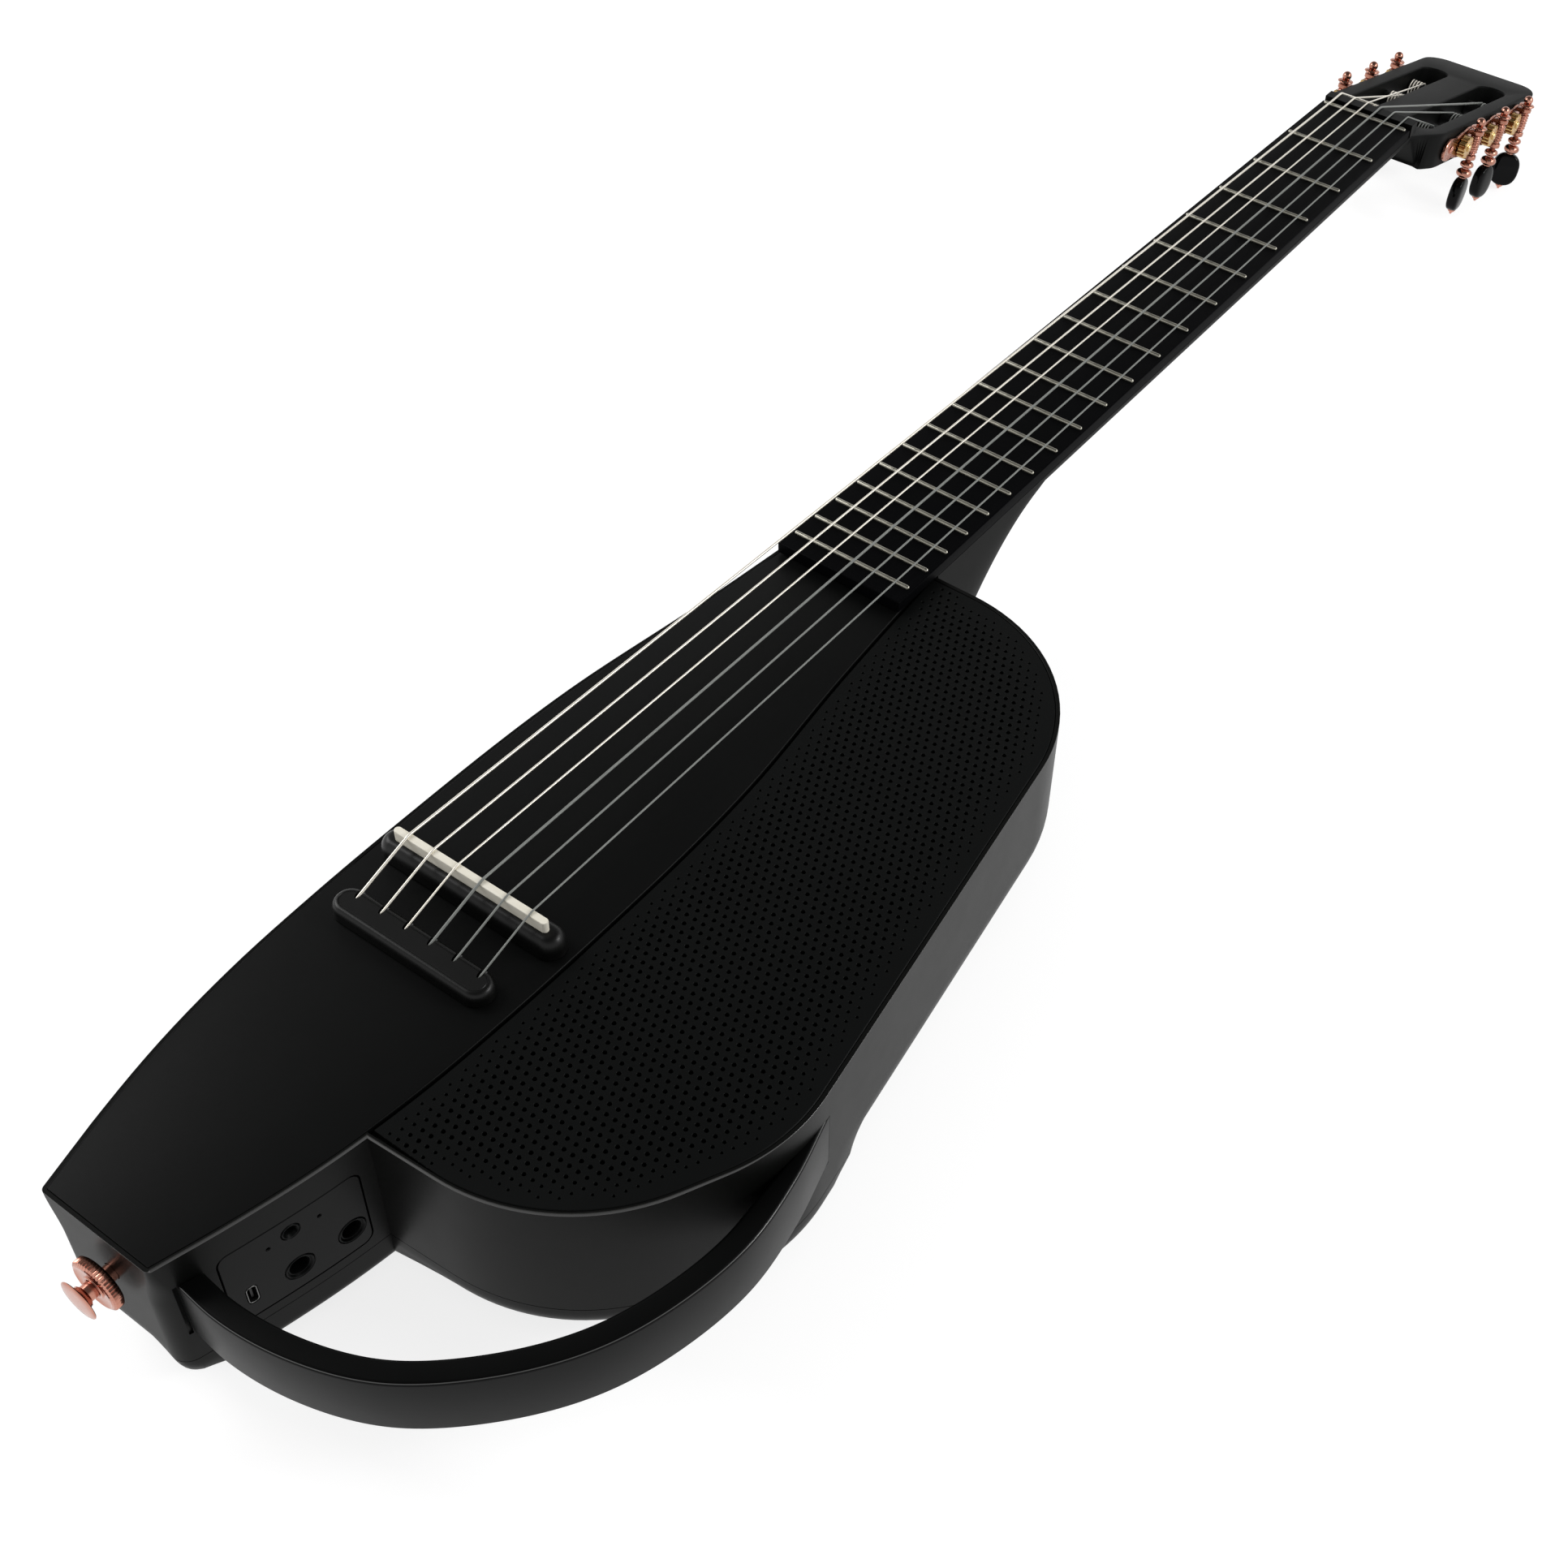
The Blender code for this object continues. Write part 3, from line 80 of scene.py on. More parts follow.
camera = bpy.data.objects.new("camera", bpy.data.cameras.new("camera"))
bpy.context.scene.collection.objects.link(camera)
bpy.context.scene.camera = camera
upward = CAMERA_RIGHT.cross(CAMERA_FORWARD)
turn = Matrix((CAMERA_RIGHT, upward, -CAMERA_FORWARD)).transposed()
camera.matrix_world = Matrix.Translation(CAMERA_PLACE) @ turn.to_4x4()
camera.data.sensor_width = SENSOR
camera.data.lens = SENSOR * FOCAL_PIXELS / FRAME_PIXELS
camera.data.shift_x = 0.5 - CENTRE_PIXEL[0] / FRAME_PIXELS
camera.data.shift_y = CENTRE_PIXEL[1] / FRAME_PIXELS - 0.5
print("lens:", round(camera.data.lens, 2), "mm")

# %% [markdown]
# ## Shader maths
#
# A finish is a web of small nodes. Wrapping an output in a class with the usual operators lets the
# web be written as a formula, such as `0.5 + 0.1 * cloud`, and one method makes every other node.

# %% Wires and finishes
class Wire:
    """A node's output. The operators + - * with wires or numbers add Math nodes."""

    def __init__(self, finish, socket):
        self.finish = finish
        self.socket = socket

    def maths(self, operation, first, second):
        return self.finish.node("ShaderNodeMath", {"operation": operation}, {0: first, 1: second})

    def __add__(self, other):
        return self.maths("ADD", self, other)

    def __sub__(self, other):
        return self.maths("SUBTRACT", self, other)

    def __rsub__(self, other):
        return self.maths("SUBTRACT", other, self)

    def __mul__(self, other):
        return self.maths("MULTIPLY", self, other)

    __radd__ = __add__
    __rmul__ = __mul__


class Web:
    """A tree of shader nodes."""

    def __init__(self, tree):
        self.tree = tree

    def feed(self, socket, value):
        if isinstance(value, Wire):
            self.tree.links.new(value.socket, socket)
        else:
            socket.default_value = value

    def node(self, kind, settings=None, inputs=None, output=0):
        """A node of that kind: its settings first, then its inputs by name or number."""
        made = self.tree.nodes.new(kind)
        for key, value in (settings or {}).items():
            setattr(made, key, value)
        for key, value in (inputs or {}).items():
            self.feed(made.inputs[key], value)
        return Wire(self, made.outputs[output])

    def seen_rays(self):
        """1 for rays that look at the surface, straight or by a mirror or glass; 0 for its light."""
        kinds = ("Is Camera Ray", "Is Glossy Ray", "Is Transmission Ray")
        wires = [self.node("ShaderNodeLightPath", output=kind) for kind in kinds]
        return wires[0] + wires[1] + wires[2]


class Finish(Web):
    """A material with one Principled shader and the nodes that feed it."""

    def __init__(self, name, **sockets):
        self.material = bpy.data.materials.new(name)
        self.material.use_nodes = True
        super().__init__(self.material.node_tree)
        self.shader = self.tree.nodes["Principled BSDF"]
        for socket, value in sockets.items():
            self.set(socket.replace("_", " ").title().replace("Ior", "IOR"), value)

    def set(self, socket, value):
        self.feed(self.shader.inputs[socket], value)

    def noise(self, size, detail=2.0, stretch=(1, 1, 1)):
        """Cloudy values round 0.5 whose blotches are about that size in metres."""
        place = self.node("ShaderNodeTexCoord", output="Object")
        scaled = self.node("ShaderNodeMapping", inputs={"Vector": place, "Scale": stretch})
        inputs = {"Vector": scaled, "Scale": 1 / size, "Detail": detail}
        return self.node("ShaderNodeTexNoise", inputs=inputs)

    def between(self, low, high, share):
        """A colour that runs from low to high as the share goes from 0 to 1."""
        inputs = {0: share, 6: (*low, 1), 7: (*high, 1)}
        return self.node("ShaderNodeMix", {"data_type": "RGBA"}, inputs, output=2)

    def bump(self, height, depth):
        inputs = {"Height": height, "Distance": depth}
        self.set("Normal", self.node("ShaderNodeBump", inputs=inputs))


# %% [markdown]
# ## Moulded and painted surfaces
#
# The body, the neck and the trim are black composite with a fine matte grain. A single black would
# look like a hole in the picture, so each finish mixes two close blacks by a soft cloud, varies its
# gloss by the same cloud, and carries a grain of a fifth of a millimetre as bump. The narrow rims
# have a glossier black of their own, about four times lighter than the walls': a painted highlight line.

# %% Black finishes
CLOUD_SIZE = 0.06
TOUCH_SIZE = 0.009
TONE_LOW = 0.80
TONE_HIGH = 1.25


def moulded(name, colour, roughness, grain, relief, specular=0.5):
    """Colour and gloss drift with a cloud 60 mm wide; the grain is a bump of that size and relief."""
    finish = Finish(name, specular_ior_level=specular)
    cloud = finish.noise(CLOUD_SIZE, 3)
    touch = finish.noise(TOUCH_SIZE, 4)
    fine = finish.noise(grain, 2)
    low = [TONE_LOW * value for value in colour]
    high = [TONE_HIGH * value for value in colour]
    finish.set("Base Color", finish.between(low, high, 0.7 * cloud + 0.3 * fine))
    finish.set("Roughness", (roughness - 0.07) + 0.07 * cloud + 0.04 * touch + 0.03 * fine)
    finish.bump(fine, relief)
    return finish.material


def graphite(name):
    """The fretboard: long dark streaks along the strings, 30 times longer than wide."""
    finish = Finish(name, specular_ior_level=0.035)
    streak = finish.noise(0.0007, 3, (1 / 30, 1, 1))
    pore = finish.noise(0.00025, 2, (1 / 6, 1, 1))
    finish.set("Base Color", finish.between((0.0004, 0.0005, 0.0007), (0.0014, 0.0015, 0.0020), streak))
    finish.set("Roughness", 0.50 + 0.12 * streak)
    finish.bump(0.6 * streak + 0.4 * pore, 0.00003)
    return finish.material


SHELL = moulded("shell_black", (0.0034, 0.0036, 0.0033), 0.37, 0.00022, 0.000018, 0.070)
# The rims' black is about four times lighter than the shell's and glossier: a painted highlight line
# along the edges.
RIM_SHEEN_BLACK = moulded("rim_painted_sheen", (0.0150, 0.0150, 0.0140), 0.22, 0.00022, 0.000004, 1.0)
TOP = moulded("top_black", (0.0030, 0.0032, 0.0031), 0.40, 0.00022, 0.000018, 0.085)
GRILLE = moulded("grille_black", (0.0031, 0.0035, 0.0034), 0.42, 0.00018, 0.000014, 0.07)
TRIM = moulded("trim_black", (0.0024, 0.0026, 0.0025), 0.36, 0.00018, 0.000014, 0.080)
NECK = moulded("neck_black", (0.0032, 0.0034, 0.0032), 0.50, 0.00022, 0.000018, 0.045)
BRIDGE = moulded("bridge_black", (0.0022, 0.0023, 0.0021), 0.36, 0.00020, 0.000008, 0.26)
FRETBOARD = graphite("fretboard_black")
print("black finishes ready")

# %% [markdown]
# ## Metal, nylon and gloss
#
# The tuners and the tail hardware are plated in rose gold, which is a polished metal with faint
# drawing marks. The tuners' plates are chased all over, and the plates and the key shafts mix down
# to a much darker colour in blotches: a painted dark reflection. Gloss black is a dark base under a
# clear coat. Nylon is grey and slightly milky, and the bass strings carry a wound wire: its ridges
# are narrower than a hair, so they are a bump that follows the string through an attribute, the
# distance along it.

# %% Bright finishes
MARK_DEPTH = 0.000006
DIMPLE_SIZE = 0.0016


def polished(name, low, high, roughness, mark=(1, 1, 1), chasing=0.0):
    """A metal of drifting tone and gloss, with drawn marks and with dimples as deep as the chasing."""
    finish = Finish(name, metallic=1.0)
    cloud = finish.noise(0.004, 3)
    marks = finish.noise(0.0004, 2, mark)
    finish.set("Base Color", finish.between(low, high, cloud))
    finish.set("Roughness", roughness + 0.10 * marks + 0.06 * cloud)
    if chasing:
        marks = marks + finish.noise(DIMPLE_SIZE, 1) * (chasing / MARK_DEPTH)
    finish.bump(marks, MARK_DEPTH)
    return finish.material


def glossy(name, colour, roughness=0.10):
    """A dark base under a clear coat with a trace of haze."""
    finish = Finish(name, specular_ior_level=0.05, coat_weight=0.10, coat_roughness=0.04)
    haze = finish.noise(0.003, 3)
    finish.set("Base Color", finish.between(colour, [1.6 * value for value in colour], haze))
    finish.set("Roughness", roughness + 0.08 * haze)
    finish.bump(haze, 0.00001)
    return finish.material


def ivory(name):
    """Pale and faintly streaked along the saddle."""
    finish = Finish(name, specular_ior_level=0.4)
    streak = finish.noise(0.0016, 3, (1, 0.2, 1))
    finish.set("Base Color", finish.between((0.80, 0.75, 0.62), (0.92, 0.89, 0.79), streak))
    finish.set("Roughness", 0.34 + 0.15 * streak)
    finish.bump(streak, 0.00002)
    return finish.material


def nylon(name):
    finish = Finish(name, specular_ior_level=0.4)
    cloud = finish.noise(0.006, 2)
    finish.set("Base Color", finish.between((0.17, 0.18, 0.17), (0.26, 0.27, 0.25), cloud))
    finish.set("Roughness", 0.30 + 0.1 * cloud)
    finish.bump(finish.noise(0.0004, 2), 0.00001)
    return finish.material


WINDING_PITCH = 0.00024


def wound(name):
    """Ridges every quarter millimetre: the sine of the distance along the string."""
    finish = Finish(name, metallic=0.6)
    along = finish.node("ShaderNodeAttribute", {"attribute_name": "along"}, output="Fac")
    phase = along * (2 * math.pi / WINDING_PITCH)
    ridge = finish.node("ShaderNodeMath", {"operation": "SINE"}, {0: phase})
    cloud = finish.noise(0.004, 3)
    finish.set("Base Color", finish.between((0.84, 0.78, 0.66), (0.95, 0.92, 0.85), cloud))
    finish.set("Roughness", 0.30 + 0.12 * cloud - 0.04 * ridge)
    finish.bump(ridge, 0.000003)
    return finish.material


TURNED = (1, 1, 0.1)
ROSE = polished("rose_gold", (0.40, 0.165, 0.115), (0.64, 0.31, 0.235), 0.10, TURNED)
# The tuners' plates and shafts mix down to a much darker low colour by a cloud: a painted dark
# reflection.
CHASED_DARKENED = polished("rose_gold_chased_painted_dark", (0.16, 0.06, 0.04), (0.60, 0.29, 0.21), 0.12, TURNED, 0.00016)
DARKENED_ROSE = polished("rose_gold_painted_dark", (0.17, 0.066, 0.044), (0.68, 0.34, 0.255), 0.09, TURNED, 0.00004)
GEAR_GOLD = polished("gear_gold", (0.42, 0.27, 0.10), (0.58, 0.39, 0.17), 0.16, (1, 0.1, 1))
FRET_METAL = polished("fret_metal", (0.30, 0.29, 0.245), (0.45, 0.435, 0.37), 0.22, (1, 0.05, 1))
STEEL = polished("socket_metal", (0.15, 0.15, 0.15), (0.25, 0.25, 0.24), 0.30)
GLOSS = glossy("gloss_black", (0.0016, 0.0016, 0.0018))
ROLLER = glossy("roller_black", (0.006, 0.006, 0.006), 0.30)
IVORY = ivory("saddle_ivory")
NYLON = nylon("nylon")
WOUND = wound("wound_silver")
print("bright finishes ready")

# %% [markdown]
# ## Surfaces on a grid
#
# Most pieces are a grid of rings: each ring is a loop of points, and the next ring continues the
# skin. One function turns such a grid into a closed mesh, another turns a profile round an axis, and
# a third places points by a matrix, because a finished piece's object has to stay at the origin. A
# few short ones serve everywhere: angles once round, flat points at a height, a rolled edge.

# %% Rings into meshes
MERGE = 1e-7


def angles(steps):
    """Equal steps once round, the last one short of the first."""
    return np.arange(steps) * 2 * math.pi / steps


def level(points, z):
    """Flat points at one height, or each at its own."""
    return np.column_stack([points, np.broadcast_to(z, len(points))])


def unit(vectors):
    return vectors / np.linalg.norm(vectors, axis=-1, keepdims=True)


def rolled_edge(roll, fall, steps):
    """(inwards, down) along a quarter ellipse, from the side's top to the flat."""
    turns = np.linspace(0, math.pi / 2, steps)
    return [(roll * (1 - math.cos(turn)), fall * (1 - math.sin(turn))) for turn in turns]


def round_rings(radius, angle, height):
    """Points at radius times (cos, sin) of the angle and at the height, spread over a grid."""
    grid = np.broadcast_arrays(radius * np.cos(angle), radius * np.sin(angle), height)
    return np.stack(grid, axis=-1)


def rectangle(x0, y0, x1, y1):
    return np.array([(x0, y0), (x1, y0), (x1, y1), (x0, y1)])


def travelled(points):
    """The way along a line of points from its start to each of them."""
    return np.concatenate([[0], np.cumsum(np.linalg.norm(np.diff(points, axis=0), axis=1))])


def add_piece(name, points, faces, sharp=38):
    """A mesh object at the origin, its doubles merged and its faces turned outwards."""
    mesh = bpy.data.meshes.new(name)
    mesh.from_pydata(np.asarray(points, float).reshape(-1, 3).tolist(), [], faces)
    work = bmesh.new()
    work.from_mesh(mesh)
    bmesh.ops.remove_doubles(work, verts=work.verts, dist=MERGE)
    bmesh.ops.recalc_face_normals(work, faces=work.faces)
    work.to_mesh(mesh)
    work.free()
    mesh.shade_smooth()
    mesh.set_sharp_from_angle(angle=math.radians(sharp))
    piece = bpy.data.objects.new(name, mesh)
    bpy.context.scene.collection.objects.link(piece)
    return piece


def ring_faces(rows, columns, first=0):
    """Quads between neighbouring rings, whose last column joins the first."""
    index = first + np.arange(rows * columns).reshape(rows, columns)
    after = np.roll(index, -1, axis=1)
    return np.stack([index[:-1], after[:-1], after[1:], index[1:]], axis=-1).reshape(-1, 4).tolist()


def loft(name, rings, sharp=38):
    """A closed solid through the rings, with a flat face over the first and the last."""
    rings = np.asarray(rings, float)
    rows, columns = rings.shape[:2]
    last = (rows - 1) * columns
    caps = [list(range(columns))[::-1], list(range(last, last + columns))]
    return add_piece(name, rings, ring_faces(rows, columns) + caps, sharp)


def placed(points, matrix):
    """The points turned and moved by the matrix: p times its 3 x 3 part, plus its last column."""
    matrix = np.array(matrix)
    return np.asarray(points, float) @ matrix[:3, :3].T + matrix[:3, 3]


def moved(piece, matrix):
    """The piece with its own points placed, so that its object stays at the origin."""
    points = np.array([vertex.co for vertex in piece.data.vertices])
    piece.data.vertices.foreach_set("co", placed(points, matrix).astype(np.float32).ravel())
    return piece


def turned(profile, steps, matrix=Matrix.Identity(4)):
    """Rings of a turned shape, whose profile is (height, radius)."""
    height, radius = np.transpose(profile)[..., None]
    return placed(round_rings(radius, angles(steps), height), matrix)


def rod(name, radius, start, end, steps, matrix):
    """A plain cylinder along the matrix's Z axis, for cutting."""
    return loft(name, turned(((start, radius), (end, radius)), steps, matrix))


def arc_profile(height, radius, size, start, end, steps=7):
    """Profile points on a circle of that size round (height, radius), in degrees from the axis."""
    angle = np.radians(np.linspace(start, end, steps))
    return list(zip(height + size * np.cos(angle), radius + size * np.sin(angle)))


def dress(piece, material, slot, *nodes, body="instrument"):
    """Gives the piece its finish, lets it ride on its body and hides the nodes that it stands for."""
    piece.data.materials.clear()
    piece.data.materials.append(material)
    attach(piece, body)
    if nodes:
        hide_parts(*nodes)
    return piece


def carve(piece, operation, tools, sharp=38):
    """Exact Booleans with the tools, applied at once, so that the piece is a plain mesh again."""
    for tool in tools:
        modifier = piece.modifiers.new(tool.name, "BOOLEAN")
        modifier.operation = operation
        modifier.object = tool
    graph = bpy.context.evaluated_depsgraph_get()
    mesh = bpy.data.meshes.new_from_object(piece.evaluated_get(graph))
    piece.modifiers.clear()
    piece.data = mesh
    for tool in tools:
        bpy.data.objects.remove(tool)
    mesh.shade_smooth()
    mesh.set_sharp_from_angle(angle=math.radians(sharp))
    return piece


print("mesh helpers ready")

# %% [markdown]
# ## Outlines
#
# The body, the plates and the panel all start as a closed outline whose corners are rounded by arcs.
# Drawing an outline in by a distance moves each edge inwards and keeps the arcs round the same
# centres, so seams and rims run parallel to the edge that they follow.

# %% Rounded outlines
ARC_STEPS = 22


def drawn_in(points, distance):
    """Each edge of a counter-clockwise outline moved inwards: a point moves along its mitre."""
    points = np.asarray(points, float)
    edges = unit(np.roll(points, -1, axis=0) - points)
    inward = np.stack([-edges[:, 1], edges[:, 0]], axis=1)
    before = np.roll(inward, 1, axis=0)
    mitre = (inward + before) / (1 + (inward * before).sum(axis=1))[:, None]
    return points + mitre * distance


def rounded(points, radii, inset=0.0, steps=ARC_STEPS):
    """The outline drawn in, each corner an arc; a hollow one's arc grows as a bulging one's shrinks."""
    corners = drawn_in(points, inset)
    outline = []
    for i, (corner, radius) in enumerate(zip(corners, radii)):
        if not radius:
            outline.append(corner[None])
            continue
        back = unit(corners[i - 1] - corner)
        ahead = unit(corners[(i + 1) % len(corners)] - corner)
        bulge = 1 if back[1] * ahead[0] - back[0] * ahead[1] > 0 else -1
        radius = max(radius - bulge * inset, 1e-4)
        half = math.acos(back @ ahead) / 2
        centre = corner + unit(back + ahead) * radius / math.sin(half)
        start = corner + back * radius / math.tan(half) - centre
        end = corner + ahead * radius / math.tan(half) - centre
        sweep = math.pi - 2 * half
        share = np.linspace(0, 1, steps)[:, None]
        arc = np.sin((1 - share) * sweep) * start + np.sin(share * sweep) * end
        outline.append(centre + arc / math.sin(sweep))
    return np.concatenate(outline)


def reader(points, radii, deepest, levels=36):
    """A function that draws each outline point in by its own inset, read between whole outlines."""
    depth = np.linspace(0, deepest, levels)
    family = np.array([rounded(points, radii, level) for level in depth])

    def read(insets, z):
        insets = np.broadcast_to(insets, family.shape[1])
        place = np.clip(insets / depth[1], 0, levels - 1.001)
        below = place.astype(int)
        share = (place - below)[:, None]
        column = np.arange(family.shape[1])
        plan = family[below, column] * (1 - share) + family[below + 1, column] * share
        return level(plan, z)

    return read


def smooth_through(points, x):
    """A cubic Hermite curve through the points, each slope taken from its neighbours."""
    xs, ys = np.transpose(points)
    slopes = np.gradient(ys, xs)
    i = np.clip(np.searchsorted(xs, x) - 1, 0, len(xs) - 2)
    span = xs[i + 1] - xs[i]
    t = (x - xs[i]) / span
    rise = (1 + 2 * t) * (1 - t) ** 2 * ys[i] + t * (1 - t) ** 2 * span * slopes[i]
    return rise + t**2 * (3 - 2 * t) * ys[i + 1] + t**2 * (t - 1) * span * slopes[i + 1]


def smooth_step(x, start, length):
    """0 before the start, 1 after the length, and 3 t² - 2 t³ between."""
    t = np.clip((x - start) / length, 0, 1)
    return t * t * (3 - 2 * t)


# %% The body's outline
TAIL_X = -0.1663
JOINT_X = 0.235
SPINE_HALF_WIDTHS = (
    (0.000, 0.0240), (0.066, 0.0312), (0.145, 0.0382), (0.240, 0.0432), (0.335, 0.0452),
    (0.440, 0.0458), (0.658, 0.0434), (0.824, 0.0354), (1.000, 0.0286),
)
TAIL_CORNER_RADIUS = 0.0075
CRISP_CORNER_RADIUS = 0.0022
TAIL_MIDDLE = (-0.0040, -0.0095)
TAIL_FULL_Y = -0.010
TREBLE_CLEAR = 0.016
BASS_CLEAR = 0.026
POD_FRONT_CORNER_Y = -0.1098
POD_FRONT_RADIUS = 0.0742
POD_TAIL_CORNER = (-0.0140, -0.1482)
POD_TAIL_RADIUS = 0.0717
POD_ROUND_CORNER = (-0.0878, -0.1121)
POD_ROUND_RADIUS = 0.0754
POD_ROOT_X = -0.0918
POD_ROOT_REACH = 0.4
POD_STRAIGHT = (0.016, 0.14)
SPINE_SAMPLES = 56
POD_SAMPLES = 12
TAIL_SAMPLES = 12


def spine_half_width(x):
    return smooth_through(SPINE_HALF_WIDTHS, (x - TAIL_X) / (JOINT_X - TAIL_X))


def pod_side_y(x):
    """The pod's outer wall, a straight line from its tail corner to its front corner."""
    x0, y0 = POD_TAIL_CORNER
    return y0 + (POD_FRONT_CORNER_Y - y0) * (x - x0) / (JOINT_X - x0)


def spine_stations(clear, end, count):
    """Places along the spine; none lies so near the tail that its drawn-in corner would overtake it."""
    return np.concatenate([[TAIL_X], np.linspace(TAIL_X + clear, end, count)])


def spine_corners():
    """The spine alone, as it is at the top plate, where the tail's corners are crisp."""
    xs = spine_stations(BASS_CLEAR, JOINT_X, SPINE_SAMPLES)
    half = spine_half_width(xs)
    points = np.concatenate([np.stack([xs, -half], axis=1), np.stack([xs, half], axis=1)[::-1]])
    radii = np.zeros(len(points))
    radii[[0, -1]] = CRISP_CORNER_RADIUS
    return points, radii


def pod_corners():
    """The pod from its root at the spine, counter-clockwise; it closes inside the spine."""
    root = np.array([POD_ROOT_X, -float(spine_half_width(POD_ROOT_X))])
    inner = root + (root - POD_ROUND_CORNER) * POD_ROOT_REACH
    side = [(x, pod_side_y(x)) for x in np.linspace(*POD_STRAIGHT, POD_SAMPLES)]
    front = [(JOINT_X, POD_FRONT_CORNER_Y), (JOINT_X, 0)]
    points = [tuple(inner), POD_ROUND_CORNER, POD_TAIL_CORNER, *side, *front]
    return points, [0, POD_ROUND_RADIUS, POD_TAIL_RADIUS, *([0] * len(side)), POD_FRONT_RADIUS, 0]


def body_corners(tail_radius=TAIL_CORNER_RADIUS):
    """The whole body, counter-clockwise from the treble corner of the tail."""
    near = spine_stations(TREBLE_CLEAR, POD_ROOT_X, TAIL_SAMPLES)
    along = spine_stations(BASS_CLEAR, JOINT_X, SPINE_SAMPLES)[::-1]
    treble = np.stack([near, -spine_half_width(near)], axis=1)
    bass = np.stack([along, spine_half_width(along)], axis=1)
    pod_points, pod_radii = pod_corners()
    tail = [(TAIL_X, y) for y in TAIL_MIDDLE]
    points = np.concatenate([treble, pod_points[1:-1], bass, tail])
    radii = [tail_radius, *([0] * (len(near) - 1)), *pod_radii[1:-1], *([0] * (len(along) - 1))]
    return points, [*radii, tail_radius, 0, 0]


body_plan = rounded(*body_corners())
print("body outline:", len(body_plan), "points")

# %% [markdown]
# ## The body's shell and back cover
#
# The body is a thin moulded shell with a separate back cover, and a seam 15 mm above the back. One
# could model a box and bevel it, but the edge radius changes all the way round: it is small along
# the spine, large at the tail, and a deep comfort bevel on the pod's outer side. So each column of
# the skin gets its own radius, and each ring is the outline at one height. The rim's outer edge is a
# fine smooth bead, a piece of its own in the rims' lighter black, which paints a highlight line; it
# is widest on the treble side and round the pod.

# %% Shell and cover
BODY_DEPTH = 0.071
WALL = 0.003
SEAM_HEIGHT = 0.015
SEAM_GAP = 0.0003
FIT_GAP = 0.0003
RIM = 0.0016
PLATE_THICKNESS = 0.0027
DECK_THICKNESS = 0.0027
GROOVE = 0.0012
SPINE_ROUNDING = 0.006
TAIL_ROUNDING = 0.024
TAIL_CORNER_ROUNDING = 0.014
TAIL_ROUNDING_REACH = 0.016
POD_ROUNDING = 0.012
COMFORT_ROUNDING = 0.027
COMFORT_START_X = 0.023
COMFORT_RAMP = 0.012
COMFORT_END_X = 0.195
POD_ROUNDING_START_Y = 0.0458
POD_ROUNDING_RAMP = 0.0153
RIM_ROUNDING = 0.0006
RIM_SHARP = 0.12
BEAD_FOOT = 1.3
BEAD_STARTS = ((TAIL_X + 0.0015, 0.003), (-0.05, 0.05), (0, 0.01))
EDGE_BREAK = 0.0002
DEEPEST_INSET = 0.036
CORNER_SOFTENS_AT = 0.050
UPPER_BEND = BODY_DEPTH - 0.003
LOWER_BEND = 0.028
INNER_BEND = 0.030
PLATE_BASE = BODY_DEPTH - PLATE_THICKNESS
DECK_TOP = PLATE_BASE - FIT_GAP
DECK_BOTTOM = DECK_TOP - DECK_THICKNESS


def edge_radii(points):
    """Back edge radius along the outline, blended between spine, tail and pod by smooth steps."""
    x, y = points.T
    near_tail = 1 - smooth_step(x, TAIL_X, TAIL_ROUNDING_REACH)
    on_pod = smooth_step(-y, POD_ROUNDING_START_Y, POD_ROUNDING_RAMP)
    bevel = smooth_step(x, COMFORT_START_X, COMFORT_RAMP)
    bevel *= 1 - smooth_step(x, COMFORT_END_X, JOINT_X - COMFORT_END_X)
    pod = POD_ROUNDING + (COMFORT_ROUNDING - POD_ROUNDING) * bevel
    half = SPINE_HALF_WIDTHS[0][1]
    middle = smooth_step(y, -half, half + TAIL_FULL_Y)
    tail = TAIL_CORNER_ROUNDING + (TAIL_ROUNDING - TAIL_CORNER_ROUNDING) * middle
    return SPINE_ROUNDING + (tail - SPINE_ROUNDING) * near_tail + (pod - SPINE_ROUNDING) * on_pod


soft_body = reader(*body_corners(), DEEPEST_INSET)
crisp_body = reader(*body_corners(CRISP_CORNER_RADIUS), DEEPEST_INSET)
body_edge = edge_radii(body_plan)


def body_at(insets, z):
    """The drawn-in outline at one height; the tail's corners sharpen from soft to crisp at the top."""
    crisp = np.reshape(smooth_step(z, CORNER_SOFTENS_AT, BODY_DEPTH - CORNER_SOFTENS_AT), (-1, 1))
    return (1 - crisp) * soft_body(insets, z) + crisp * crisp_body(insets, z)


def wall_ring(z, offset=0.0):
    """The skin at one height: drawn in by r - sqrt(r² - (r - z)²) where z is below the radius r."""
    edge = np.maximum(body_edge - offset, max(offset / 2, 1e-4))
    rise = np.clip((edge - (z - offset)) / edge, 0, 1)
    return body_at(offset + edge * (1 - np.sqrt(1 - rise**2)), z)


def bead_sizes(points):
    """The bead's width along the outline, and so that of the painted highlight line: it fades at the
    tail, on the bass side and up the pod.
    """
    x, y = points.T
    tail, waist, bass = BEAD_STARTS
    shine = smooth_step(x, *tail) * (1 - smooth_step(x, *waist)) * smooth_step(-y, *bass)
    return RIM_ROUNDING * (RIM_SHARP + (1 - RIM_SHARP) * shine)


